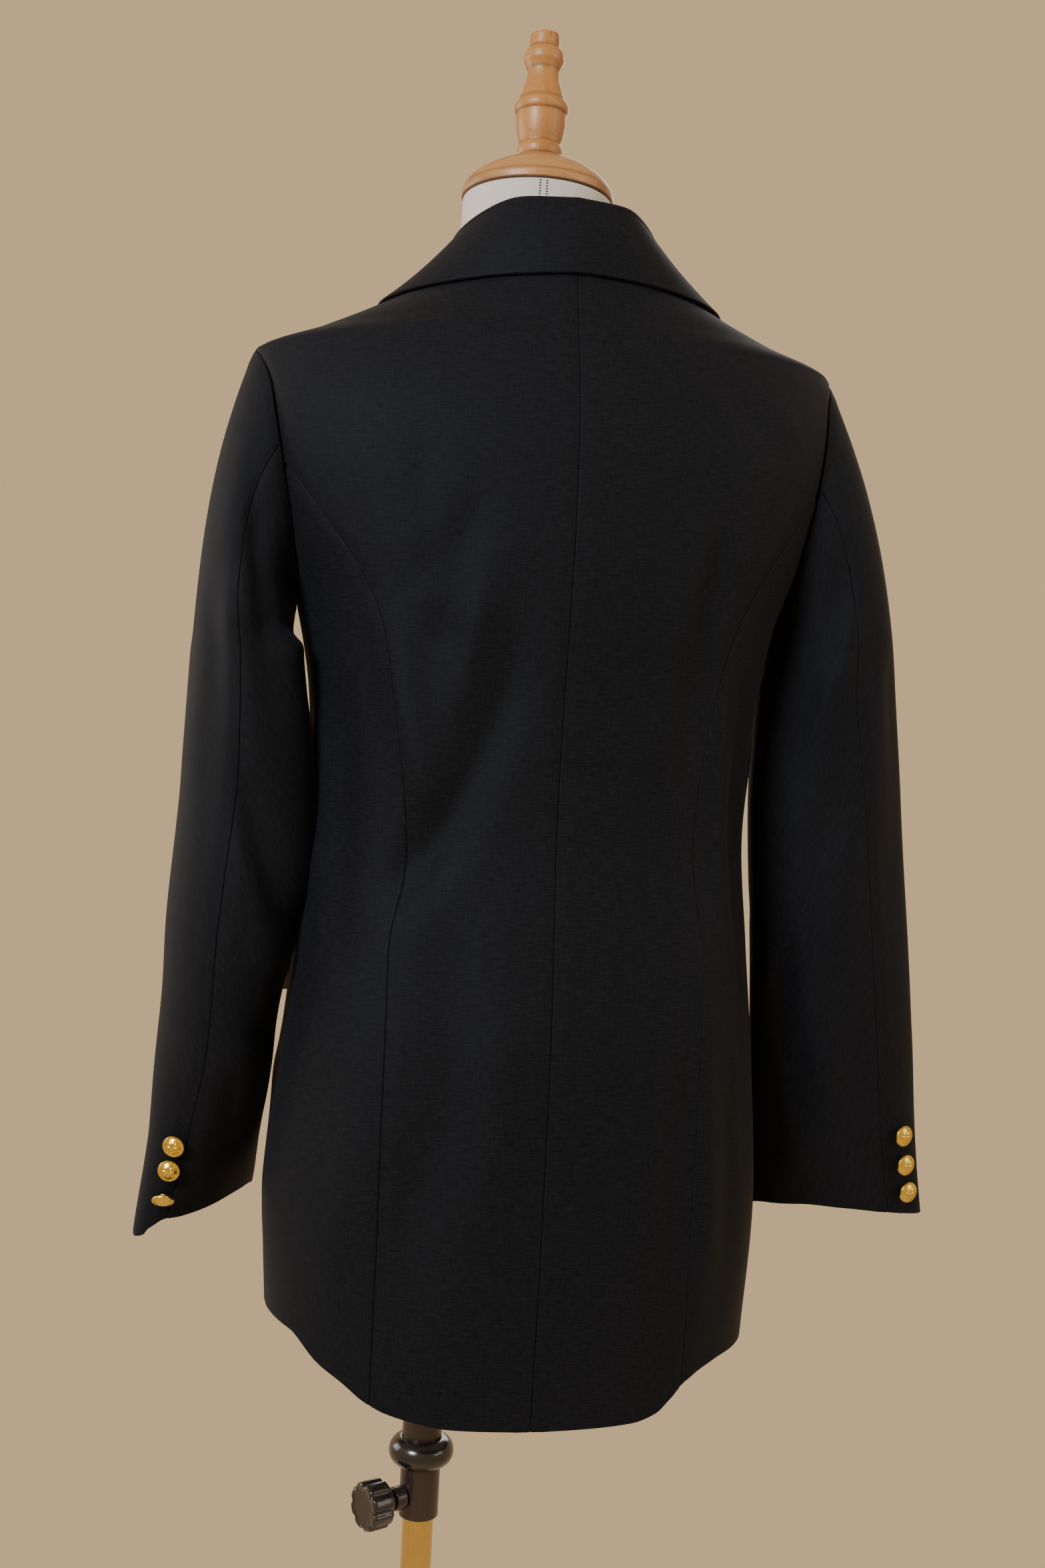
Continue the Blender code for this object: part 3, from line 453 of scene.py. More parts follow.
body_at = reader(BODY)
hem_at = {1: reader(LEFT_HEM), -1: reader(RIGHT_HEM)}
neck_at = reader(NECK)
back_seam_at = reader(BACK_SEAM)


def settle(points):
    """Garment points in the scene, with the slight tilt of the shoulders."""
    x, y, height = np.moveaxis(points, -1, 0)
    above = ease(height, 0.05, 0.29) * (1 - ease(height, 0.33, 0.38))
    return point(x + GARMENT_X, y, WAIST + height - SHOULDER_TILT * x / SHOULDER_REACH * above)


def body_point(side, turn, height):
    """Outer face of the cloth on the body."""
    width, back, front, square = body_at(height)
    across = np.sin(turn)
    along = np.cos(turn)
    x = width * np.abs(across) ** (2 / square) * np.sign(across)
    y = np.where(along >= 0, back, front) * np.abs(along) ** (2 / square) * np.sign(along)
    return point(side * x, y, height)


def body_normal(side, turn, height):
    """Outward direction of the body's surface."""
    along = body_point(side, turn + 0.01, height) - body_point(side, turn - 0.01, height)
    up = body_point(side, turn, height + 0.001) - body_point(side, turn, height - 0.001)
    normal = unit(np.cross(along, up))
    here = body_point(side, turn, height)
    outwards = here[..., 0] * normal[..., 0] + here[..., 1] * normal[..., 1] + 0.02 * normal[..., 2]
    return normal * np.where(outwards > 0, 1.0, -1.0)[..., None]


def turn_of_x(x, height, front):
    width, _, _, square = body_at(height)
    turn = np.arcsin(np.minimum(np.abs(x) / width, 1.0) ** (square / 2)) * np.sign(x)
    return pi - turn if front else turn


def turn_of_y(y, height, front):
    measures = body_at(height)
    depth = measures[2 if front else 1]
    turn = np.arccos(np.minimum(y / depth, 1.0) ** (measures[3] / 2))
    return pi - turn if front else turn


def armhole_turn(height, front):
    middle = (ARMHOLE_LOW + ARMHOLE_HIGH) / 2
    share = np.minimum(np.abs(height - middle) / ((ARMHOLE_HIGH - ARMHOLE_LOW) / 2), 1.0)
    y = (ARMHOLE_FRONT if front else ARMHOLE_BACK) * np.sqrt(1 - share ** 2)
    return turn_of_y(y, height, front)


def edge_x(height):
    """Distance of the front edge from the middle, along the lapel's roll line above the break."""
    share = np.clip((height - BREAK_HEIGHT) / (ROLL_TOP - BREAK_HEIGHT), 0.0, 1.0)
    return mix(-EDGE_REACH, ROLL_TOP_X, share ** ROLL_POWER)


def edge_turn(height):
    return turn_of_x(edge_x(height), height, True)


def level_height(side, turn, level):
    """The height of a level, which follows the hem below and the neck above."""
    by_hem = (hem_at[side](np.degrees(turn))[0] - HEM_LOW) * (1 - ease(level, HEM_LOW, -0.25))
    by_neck = (neck_at(np.degrees(turn))[0] - NECK_HIGH) * ease(level, 0.325, NECK_HIGH)
    return level + by_hem + by_neck


def overlap_lift(side, turn):
    """The right front lies on the left one at the middle."""
    height = 0.0 if side > 0 else CLOTH + OVERLAP_GAP
    return height * ease(turn, OVERLAP_FROM, OVERLAP_TO)


half_waist = body_point(1, np.linspace(0, pi, 90), np.zeros(90))
waist_girth = 2 * np.linalg.norm(np.diff(half_waist, axis=0), axis=1).sum()
print("waist girth", round(float(waist_girth), 3), "m")

# %% [markdown]
# ## Folds
#
# A fold is a line on the cloth with a width and a height, below zero for a trough. It fades at
# both ends and its depth wanders along the way, as no fold is even. The longest one runs from
# the left shoulder blade across the long seam to the side; upright ones stand beside the right
# seam, and small ones cross the sleeves at the armhole and the elbow.

# %% How a fold shapes the cloth
FOLD_POINTS = 26
FOLD_DEPTH = 1.35           # all folds together are made this much deeper
FOLD_REACH = 2.6            # how many of its widths away a fold is still felt


class Fold:
    """A soft ridge or trough along a line of places on the cloth."""

    def __init__(self, line, width, height, uneven=0.25):
        self.line = np.array(line, float)
        self.width = width
        self.height = height
        self.uneven = uneven

    def path(self, surface):
        """The fold's line in space, through the places that were given."""
        smooth = reader(np.column_stack((np.linspace(0, 1, len(self.line)), self.line)))
        places = smooth(np.linspace(0, 1, FOLD_POINTS))
        return surface(places[0], places[1])

    def relief(self, points, surface, number):
        """How far the fold lifts each point."""
        path = self.path(surface)
        flat = points.reshape(-1, 3)
        lift = np.zeros(len(flat))
        reach = self.width * FOLD_REACH
        near = ((flat > path.min(0) - reach) & (flat < path.max(0) + reach)).all(1)
        if not near.any():
            return lift.reshape(points.shape[:-1])
        start = path[:-1]
        step = path[1:] - start
        offset = flat[near][:, None, :] - start[None]
        along = np.clip((offset * step).sum(-1) / (step ** 2).sum(-1), 0, 1)
        gap = np.linalg.norm(offset - along[..., None] * step, axis=-1)
        nearest = gap.argmin(1)
        rows = np.arange(len(nearest))
        way = (nearest + along[rows, nearest]) / len(step)
        fade = ease(way, 0.0, 0.3) * ease(1 - way, 0.0, 0.35)
        wander = 1 + self.uneven * np.sin(way * 9.0 + number * 1.7)
        profile = np.exp(-(gap[rows, nearest] / (self.width * (0.85 + 0.3 * way))) ** 2)
        lift[near] = self.height * fade * wander * profile
        return lift.reshape(points.shape[:-1])


def folded(points, folds, surface):
    """The sum of all folds at each point."""
    total = np.zeros(points.shape[:-1])
    for number, fold in enumerate(folds):
        total += fold.relief(points, surface, number)
    return total * FOLD_DEPTH


def on_body(place, height):
    """A fold's place on the body: degrees from the middle of the back, left is above zero."""
    return body_point(1, radians(1) * place, height)


BODY_FOLDS = (              # lines of (degrees from the back's middle, height above the waist)
    Fold(((15, 0.195), (23, 0.125), (28, 0.065)), 0.013, -0.0030),
    Fold(((8, 0.150), (11, 0.065), (18, 0.012), (27, -0.030), (39, -0.068), (54, -0.095)),
         0.015, -0.0062, 0.15),
    Fold(((44, 0.130), (37, 0.060), (30, 0.000), (22, -0.040)), 0.014, 0.0044),
    Fold(((17, 0.140), (20, 0.080), (26, 0.030)), 0.010, 0.0022),
    Fold(((27, 0.235), (27, 0.160), (31, 0.110)), 0.011, -0.0020),
    Fold(((19, -0.045), (21, -0.110), (18, -0.190), (25, -0.290), (24, -0.375)), 0.021, -0.0036, 0.2),
    Fold(((8, -0.110), (9, -0.200), (13, -0.300)), 0.024, 0.0022),
    Fold(((58, 0.080), (62, 0.010), (58, -0.080), (50, -0.130)), 0.016, -0.0036),
    Fold(((75, 0.060), (79, -0.020), (72, -0.090)), 0.013, 0.0026),
    Fold(((45, -0.130), (42, -0.230), (46, -0.340)), 0.013, 0.0016),
    Fold(((-30, 0.215), (-31, 0.130), (-31, 0.070), (-32, -0.020)), 0.011, -0.0034),
    Fold(((-23, 0.160), (-24, 0.080), (-25, 0.000)), 0.013, 0.0020),
    Fold(((-21, 0.030), (-20, -0.050), (-21, -0.130)), 0.010, -0.0022),
    Fold(((-43, 0.110), (-44, 0.030), (-47, -0.060), (-48, -0.150)), 0.009, 0.0032),
    Fold(((-54, 0.090), (-58, 0.010), (-60, -0.090), (-58, -0.190)), 0.010, -0.0030),
    Fold(((-40, -0.060), (-38, -0.190), (-38, -0.345)), 0.009, 0.0024),
    Fold(((-31, -0.160), (-29, -0.250), (-30, -0.345)), 0.011, -0.0026),
    Fold(((-50, -0.120), (-49, -0.230), (-48, -0.350)), 0.010, -0.0020),
    Fold(((-25, 0.270), (-36, 0.238), (-43, 0.212)), 0.009, -0.0012),
    Fold(((-33, 0.285), (-43, 0.252), (-50, 0.226)), 0.008, 0.0010),
    Fold(((-6, -0.140), (-11, -0.180), (-15, -0.220)), 0.0045, -0.0010),
    Fold(((-12, -0.165), (-14, -0.230), (-17, -0.285)), 0.0055, -0.0010),
    Fold(((3, 0.020), (-6, 0.006), (-15, 0.012)), 0.012, -0.0010),
    Fold(((100, 0.090), (112, 0.045), (126, 0.010), (142, -0.010)), 0.014, -0.0030),
    Fold(((104, 0.060), (115, 0.015), (130, -0.025)), 0.012, 0.0024),
    Fold(((98, -0.020), (108, -0.070), (112, -0.094)), 0.012, -0.0026),
    Fold(((99, -0.160), (104, -0.240), (102, -0.340)), 0.015, 0.0026),
    Fold(((124, -0.180), (128, -0.260), (125, -0.350)), 0.016, -0.0026),
    Fold(((154, -0.030), (142, -0.060), (128, -0.080)), 0.011, -0.0020),
    Fold(((-101, 0.085), (-114, 0.050), (-128, 0.012), (-145, -0.008)), 0.013, -0.0028),
    Fold(((-102, 0.020), (-110, -0.040), (-108, -0.092)), 0.012, 0.0026),
    Fold(((-98, -0.170), (-102, -0.250), (-99, -0.340)), 0.013, -0.0028),
    Fold(((-118, -0.170), (-121, -0.260), (-118, -0.345)), 0.015, 0.0024),
    Fold(((-148, -0.040), (-138, -0.075), (-126, -0.090)), 0.012, -0.0018),
    Fold(((-142, -0.190), (-147, -0.270), (-144, -0.350)), 0.018, -0.0022),
    Fold(((84, 0.060), (90, -0.010), (94, -0.070)), 0.010, -0.0022),
    Fold(((-82, 0.070), (-86, 0.000), (-84, -0.080)), 0.010, 0.0024),
)
print("folds on the body:", len(BODY_FOLDS))

# %% [markdown]
# ## Sewing the panels
#
# Each panel is a grid of outer points with an outward direction. Beside a seam the cloth dips
# and rounds over, then turns in, as a pressed seam does, and a shallow ridge shows where its
# allowance lies underneath. The grid gets a wall of cloth inwards, faced with lining, and the
# map `cut` gives each point its place on the cloth in metres.

# %% From a grid of points to a cloth piece
EDGE_STEPS = np.array((0.0, 0.0004, 0.0009, 0.0016, 0.0026, 0.0040, 0.0060, 0.0085))
TURN_IN = 0.0030
ROUND_IN = 0.0009           # how deep an edge rounds over before it turns in
EDGE_ROLL = 0.0004
SEAM_DIP = 0.0004
SEAM_RIDGE = 0.00028
ALLOWANCE = 0.0085
PRESSED_AND_SHADE_REACH = 0.004
FINE_STEPS = 121            # points on a seam-to-seam line when its length is measured


def edge_shape(distance, sewn=True):
    """Height of the cloth at a distance from its edge."""
    roll = -EDGE_ROLL * np.clip(1 - distance / ROUND_IN, 0, 1) ** 2
    if not sewn:
        return roll
    dip = -SEAM_DIP * 0.5 * np.exp(-(distance / 0.0028) ** 2)
    ridge = SEAM_RIDGE * np.exp(-((distance - ALLOWANCE) / 0.0032) ** 2)
    return roll + dip + ridge


def steps_between(length, count):
    """Places from 0 to a length, in rows, close together beside both ends."""
    length = np.asarray(length, float)[:, None]
    squeeze = np.minimum(1.0, length / (3.0 * EDGE_STEPS[-1]))
    near = EDGE_STEPS * squeeze
    inner = np.linspace(0, 1, count + 2)[1:-1]
    start = near[:, -1:]
    middle = start + (length - 2 * start) * inner
    return np.concatenate((near, middle, length - near[:, ::-1]), 1)


def lengths_along(points, axis):
    """Length of cloth from the first point of each row (axis 1) or each column (axis 0)."""
    steps = np.linalg.norm(np.diff(points, axis=axis), axis=-1)
    return np.concatenate((np.zeros_like(steps.take([0], axis)), np.cumsum(steps, axis=axis)), axis)


def spread(low, high, count, surface):
    """Columns between two seams: their places on the cloth, each row's length, and their angles."""
    fine = low[:, None] + (high - low)[:, None] * np.linspace(0, 1, FINE_STEPS)
    arcs = lengths_along(surface(fine), 1)
    lengths = arcs[:, -1]
    places = steps_between(lengths - SEAM, count) + SEAM / 2
    angles = np.array([np.interp(place, arc, row) for place, arc, row in zip(places, arcs, fine)])
    return places, lengths[:, None], angles


def edges_lift(gaps, sewn):
    """Height that a piece's edges give the cloth, from the distances to them."""
    return sum(edge_shape(gap, is_sewn) for gap, is_sewn in zip(gaps, sewn))


def pressed_and_shaded_beside(gaps):
    """1 at the nearest edge, pressed by an iron and given painted shade, and 0 away from it."""
    return np.exp(-(np.minimum.reduce(gaps) / PRESSED_AND_SHADE_REACH) ** 2)


def turned_in(points, normals, u, v, along, last):
    """Adds two rows at one end of a grid, which turn in behind the cloth."""
    grids = [np.moveaxis(grid, along, 0) for grid in (points, normals, u, v)]
    if last:
        grids = [grid[::-1] for grid in grids]
    place, normal, across, up = grids
    outwards = unit(place[0] - place[1])
    first = place[0] + outwards * SEAM - normal[0] * ROUND_IN
    second = first - normal[0] * (TURN_IN - ROUND_IN)
    rim = unit(normal[0] + outwards)
    place = np.concatenate((second[None], first[None], place))
    normal = np.concatenate((outwards[None], outwards[None], rim[None], normal[1:]))
    across = np.concatenate((across[:1], across[:1], across))
    up = np.concatenate((up[:1], up[:1], up))
    grids = [place, normal, across, up]
    if last:
        grids = [grid[::-1] for grid in grids]
    return [np.moveaxis(grid, 0, along) for grid in grids]


def grid_faces(rows, columns, start):
    """Four corners of each cell of a grid of points."""
    r, c = np.meshgrid(np.arange(rows - 1), np.arange(columns - 1), indexing="ij")
    first = (start + r * columns + c).ravel()
    return np.column_stack((first, first + 1, first + columns + 1, first + columns))


def rim_faces(rows, columns):
    """The narrow faces that join the outer grid to the inner one all round."""
    count = rows * columns
    c = np.arange(columns - 1)
    r = np.arange(rows - 1)
    low = np.column_stack((c + 1, c, c + count, c + 1 + count))
    top = (rows - 1) * columns + c
    high = np.column_stack((top, top + 1, top + 1 + count, top + count))
    left = r * columns
    near = np.column_stack((left, left + columns, left + columns + count, left + count))
    right = left + columns - 1
    far = np.column_stack((right + columns, right, right + count, right + columns + count))
    return np.concatenate((low, high, near, far))


def flat_size(points):
    """Widest row, longest column and area of a grid of points."""
    width = np.linalg.norm(np.diff(points, axis=1), axis=-1).sum(1).max()
    length = np.linalg.norm(np.diff(points, axis=0), axis=-1).sum(0).max()
    first = points[1:, 1:] - points[:-1, :-1]
    second = points[1:, :-1] - points[:-1, 1:]
    return float(width), float(length), float(np.linalg.norm(np.cross(first, second), axis=-1).sum() / 2)


def cloth_shell(name, points, normals, u, v, pressed_and_edge_shade, turned=(1, 1, 1, 1)):
    """A closed wall of cloth from a grid; turned says which of left, right, low and top turn in."""
    size = flat_size(points)
    pads = [(1, 0), (1, 1), (0, 0), (0, 1)]
    extra = [[0, 0], [0, 0]]
    for on, (along, last) in zip(turned, pads):
        if on:
            points, normals, u, v = turned_in(points, normals, u, v, along, last)
            extra[along][last] = 2
    pressed_and_edge_shade = np.pad(pressed_and_edge_shade, extra, mode="edge")
    rows, columns = points.shape[:2]
    outer = settle(points)
    inner = settle(points - normals * CLOTH)
    first = np.cross(outer[:, 1:][:-1] - outer[:, :-1][:-1], outer[1:, :-1] - outer[:-1, :-1])
    facing = (first * normals[:-1, :-1]).sum(-1)
    faces = np.concatenate((grid_faces(rows, columns, 0), grid_faces(rows, columns, rows * columns)[:, ::-1],
                            rim_faces(rows, columns)))
    if np.median(facing) < 0:
        faces = faces[:, ::-1]
    mesh = bpy.data.meshes.new(name)
    verts = np.concatenate((outer.reshape(-1, 3), inner.reshape(-1, 3)))
    mesh.from_pydata(verts.tolist(), [], faces.tolist())
    cut = mesh.uv_layers.new(name="cut")
    corners = np.zeros(len(mesh.loops), np.int32)
    mesh.loops.foreach_get("vertex_index", corners)
    flat = np.column_stack((np.tile(u.ravel(), 2), np.tile(v.ravel(), 2)))
    cut.data.foreach_set("uv", flat[corners].astype(np.float32).ravel())
    # The edge mask: the suiting reads it for real pressed smoothness and for painted shade.
    mark = mesh.attributes.new("pressed_and_edge_shade", "FLOAT", "POINT")
    mark.data.foreach_set("value", np.tile(pressed_and_edge_shade.ravel(), 2).astype(np.float32))
    mesh.materials.append(SUITING)
    mesh.materials.append(LINING)
    cells = (rows - 1) * (columns - 1)
    index = np.zeros(len(faces), np.int32)
    index[cells:2 * cells] = 1
    mesh.polygons.foreach_set("material_index", index)
    mesh.shade_smooth()
    mesh.update()
    piece = add_object(name, mesh)
    print(f"{name}: {len(faces) * 2} triangles, cut {size[0]:.3f} by {size[1]:.3f} m, {size[2]:.4f} m2")
    return piece, size


def loose_shell(name, points, normals, u, v, gaps):
    """A piece that is folded or hung, whose edges are rolled and not sewn."""
    lift = edges_lift(gaps, [False] * len(gaps))
    return cloth_shell(name, points + normals * lift[..., None], normals, u, v, pressed_and_shaded_beside(gaps),
                       turned=(0, 0, 0, 0))


WORN = "worn_form"


def declare(piece, nodes):
    """Puts the cloth on the body that it rides on and hides the plain parts that it stands for."""
    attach(piece, WORN)
    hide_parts(*nodes)


# %% [markdown]
# ### Back, side back and front
#
# The six body panels meet at the middle of the back, at the long seams from the armhole to the
# hem, at the sides and on the shoulders. Rows follow the hem below and the neck above, and lie
# closer where the armhole starts and ends.

# %% Cut and sew the body panels
FINE = 0.0002 * 1.38 ** np.arange(15)   # steps that grow away from the ends of the armhole
FRONT_HIGH = 0.3415


def even(low, high, step):
    return np.linspace(low, high, max(int(round((high - low) / step)), 1) + 1)


def rows_of_levels(*parts):
    return np.unique(np.round(np.concatenate(parts), 6))


HEM_ROWS = HEM_LOW + np.concatenate((EDGE_STEPS, even(0.0125, ARMHOLE_LOW - HEM_LOW - 0.0004, 0.0042)))
SCYE_ROWS = np.concatenate((ARMHOLE_LOW + FINE, even(ARMHOLE_LOW + FINE[-1], 0.190, 0.004)))
TIP_ROWS = BACK_SEAM_TOP - np.array((0.0095, 0.0070, 0.0048, 0.0030, 0.0018, 0.0010))
CHEST_ROWS = np.concatenate((even(0.194, 0.262, 0.004), ARMHOLE_HIGH - FINE, (ARMHOLE_HIGH,)))


def shoulder_rows(top):
    return np.concatenate((even(ARMHOLE_HIGH + 0.0016, top - 0.004, 0.0018), top - EDGE_STEPS[:6] * 0.8))


def back_edge(level):
    seam = turn_of_x(back_seam_at(level)[0], level, False)
    hole = armhole_turn(level, False)
    return np.where(level < BACK_SEAM_TOP, seam, np.where(level < ARMHOLE_HIGH, hole, SHOULDER_SEAM))


def side_back_outer(level):
    return np.where(level <= ARMHOLE_LOW, SIDE_SEAM, np.minimum(armhole_turn(level, False), SIDE_SEAM))


def front_outer(level):
    hole = np.maximum(armhole_turn(level, True), SIDE_SEAM)
    return np.where(level <= ARMHOLE_LOW, SIDE_SEAM, np.where(level < ARMHOLE_HIGH, hole, SHOULDER_SEAM))


def body_panel(name, side, left, right, levels, count, sewn, turned):
    """One panel between two seams; sewn and turned are for its left, right, low and top edges."""
    rows = levels[:, None]

    def surface(turn):
        return body_point(side, turn, level_height(side, turn, rows))

    places, lengths, turns = spread(left(levels), right(levels), count, surface)
    heights = level_height(side, turns, rows)
    normals = body_normal(side, turns, heights)
    base = body_point(side, turns, heights)
    drop = lengths_along(base, 0)
    gaps = (places - SEAM / 2, lengths - SEAM / 2 - places, drop, drop[-1] - drop)
    lift = overlap_lift(side, turns) + folded(base, BODY_FOLDS, on_body) * calm(side, turns, heights)
    lift = lift + edges_lift(gaps, sewn)
    u = places - np.median(lengths) / 2
    return cloth_shell(name, base + normals * lift[..., None], normals, u, rows + 0 * u,
                       pressed_and_shaded_beside(gaps), turned=turned)


def calm(side, turn, height):
    """Keeps folds off the shoulders, where the form is close, off the overlap and off the edges."""
    above_hem = ease(height - level_height(side, turn, HEM_LOW), -0.002, 0.05)
    below_shoulder = 1 - ease(height, 0.235, 0.285)
    off_overlap = 1 - ease(turn, radians(150), radians(166))
    return below_shoulder * (0.35 + 0.65 * above_hem) * off_overlap


def centre_back(level):
    return 0.0 * level


for side, word in ((1, "left"), (-1, "right")):
    back_levels = rows_of_levels(HEM_ROWS, SCYE_ROWS, CHEST_ROWS, shoulder_rows(NECK_HIGH))
    back, cut = body_panel("cloth_back_" + word, side, centre_back, back_edge, back_levels, 30,
                           (1, 1, 0, 1), (1, 1, 1, 1))
    declare(back, ["back_" + word])
    side_levels = rows_of_levels(HEM_ROWS, SCYE_ROWS, TIP_ROWS)
    side_back, cut = body_panel("cloth_side_back_" + word, side, back_edge, side_back_outer, side_levels, 20,
                                (1, 1, 0, 0), (1, 1, 1, 0))
    declare(side_back, ["side_back_" + word])
    front_levels = rows_of_levels(HEM_ROWS, SCYE_ROWS, CHEST_ROWS, shoulder_rows(FRONT_HIGH))
    front, cut = body_panel("cloth_front_" + word, side, front_outer, edge_turn, front_levels, 44,
                            (1, 0, 0, 1), (1, 1, 1, 1))
    declare(front, ["front_" + word])

# %% [markdown]
# ### Sleeves
#
# A tailored sleeve has two parts, a wide one on top and a narrow one under the arm, and bends
# forward at the elbow. The head leaves the armhole and rounds over into a tube whose width,
# depth and turn are given at a few heights.

# %% Measures and surface of the sleeves
# Columns: height, outwards, backwards, half width, half depth, turn, back seam, front seam
LEFT_SLEEVE = (
    (0.080, 0.1975, 0.002, 0.0345, 0.066, 3, 80, 252), (0.000, 0.1945, 0.004, 0.0395, 0.057, 8, 73, 252),
    (-0.096, 0.1995, 0.003, 0.0390, 0.051, 14, 63, 250), (-0.165, 0.2030, -0.006, 0.0370, 0.047, 24, 52, 248),
    (-0.235, 0.2075, -0.026, 0.0400, 0.035, 40, 37, 246),
    (-0.297, 0.2130, -0.050, 0.0530, 0.0275, 50, 33, 244),
)
RIGHT_SLEEVE = (
    (0.080, 0.2095, 0.002, 0.0490, 0.057, 0, 86, 256), (0.000, 0.2135, 0.003, 0.0545, 0.047, 0, 76, 254),
    (-0.096, 0.2220, 0.002, 0.0570, 0.039, 2, 70, 252), (-0.165, 0.2285, -0.002, 0.0590, 0.034, 3, 66, 250),
    (-0.225, 0.2355, -0.010, 0.0610, 0.029, 4, 62, 248), (-0.280, 0.2447, -0.021, 0.0642, 0.025, 5, 58, 246),
)
LEFT_CUFF = (               # degrees round the sleeve, drop of the slanting hem
    (0, 0.002), (15, -0.006), (32, -0.012), (90, -0.0135), (120, -0.010), (150, -0.0015), (180, 0.001),
    (240, 0.002), (290, 0.006), (330, 0.009), (360, 0.002),
)
RIGHT_CUFF = (
    (0, 0.023), (15, 0.021), (30, 0.018), (60, 0.0105), (90, 0.0025), (120, -0.0025), (150, -0.0025),
    (180, 0.001), (240, 0.001), (270, 0.002), (300, 0.007), (330, 0.015), (350, 0.022), (360, 0.023),
)
CUFF_FROM = 0.62            # how far down the arm the slant sets in
RIM_GAP = 0.0010
ARM_LENGTH = 0.38
SHOULDER_JOINT = (0.185, 0.0, 0.202)


def armhole_point(side, angle):
    """A point on the armhole's edge; 0 is the shoulder tip and pi / 2 the back."""
    middle = (ARMHOLE_LOW + ARMHOLE_HIGH) / 2
    height = middle + (ARMHOLE_HIGH - ARMHOLE_LOW) / 2 * np.cos(angle)
    depth = np.abs(np.sin(angle))
    behind = turn_of_y(ARMHOLE_BACK * depth, height, False)
    before = turn_of_y(ARMHOLE_FRONT * depth, height, True)
    turn = np.where(np.sin(angle) < 0, before, behind)
    return body_point(side, turn, height), body_normal(side, turn, height)


class Sleeve:
    """The outer face of a sleeve, by angle round it and way down it: -1 armhole, 0 arm, 1 cuff."""

    def __init__(self, side, table):
        self.side = side
        self.table = table
        shares = np.linspace(0, 1, len(table))[:, None]
        self.station = reader(np.hstack((shares, np.array(table))))
        self.cuff_at = reader(LEFT_CUFF if side > 0 else RIGHT_CUFF)

    def centre(self, way):
        height, out, back = self.station(way)[:3]
        return point(out, back, height)

    def tube(self, angle, way):
        _, _, _, half_width, half_depth, turn = self.station(way)[:6]
        down = unit(self.centre(np.minimum(way + 0.02, 1)) - self.centre(np.maximum(way - 0.02, 0)))
        share = np.clip(way / 0.1, 0, 1)[..., None]
        down = unit(mix(np.array((0.0, 0.0, -1.0)), down, share))
        out = unit(np.array((1.0, 0.0, 0.0)) - down * down[..., :1])
        back = -np.cross(down, out)
        turn = np.radians(turn)
        u = half_width * np.cos(angle)
        v = half_depth * np.sin(angle)
        return (self.centre(way) + out * (u * np.cos(turn) - v * np.sin(turn))[..., None]
                + back * (u * np.sin(turn) + v * np.cos(turn))[..., None])

    def head(self, angle, t):
        rim, rim_normal = armhole_point(1, angle)
        leave = unit(point(0.30 + 0.30 * np.abs(np.sin(angle)), 0.30 * np.sin(angle), -0.92))
        start = rim + unit(leave + rim_normal) * RIM_GAP
        end = self.tube(angle, 0 * angle)
        length = np.linalg.norm(end - start, axis=-1, keepdims=True)
        arrive = unit(self.tube(angle, 0 * angle + 0.01) - end)
        t = t[..., None]
        return ((2 * t ** 3 - 3 * t ** 2 + 1) * start + (t ** 3 - 2 * t ** 2 + t) * leave * length
                + (3 * t ** 2 - 2 * t ** 3) * end + (t ** 3 - t ** 2) * arrive * length)

    def point(self, angle, way):
        angle, way = np.broadcast_arrays(np.asarray(angle, float), np.asarray(way, float))
        upper = self.head(angle, np.clip(way + 1, 0, 1))
        lower = self.tube(angle, np.clip(way, 0, 1))
        place = np.where((way < 0)[..., None], upper, lower)
        drop = self.cuff_at(np.degrees(angle) % 360)[0] * ease(way, CUFF_FROM, 1)
        return place * np.array((self.side, 1.0, 1.0)) - point(0, 0, drop)

    def normal(self, angle, way):
        around = self.point(angle + 0.02, way) - self.point(angle - 0.02, way)
        along = self.point(angle, np.minimum(way + 0.004, 1)) - self.point(angle, np.maximum(way - 0.004, -1))
        normal = unit(np.cross(around, along))
        start = mix(self.centre(0 * way), np.array(SHOULDER_JOINT), np.clip(-way, 0, 1)[..., None])
        middle = np.where((way < 0)[..., None], start, self.centre(np.clip(way, 0, 1)))
        outwards = self.point(angle, way) - middle * np.array((self.side, 1.0, 1.0))
        return normal * np.where((normal * outwards).sum(-1) > 0, 1.0, -1.0)[..., None]

    def seams(self, way):
        back, front = self.station(np.maximum(way, 0))[6:8]
        return np.radians(back), np.radians(front)

    def on(self, degrees, way):
        """A fold's place on the sleeve."""
        return self.point(np.radians(degrees), way)


print("sleeve length", round(ARMHOLE_HIGH - LEFT_SLEEVE[-1][0], 3), "m from shoulder to cuff")

# %% [markdown]
# The left sleeve hangs close to the body and its forearm comes forward; the right one stands
# off and shows its broad side. Their folds differ too: the left one has a soft trough from the
# shoulder, short ones above the elbow and a broad ridge down its inner side, and the right one
# has long troughs down its inner edge.

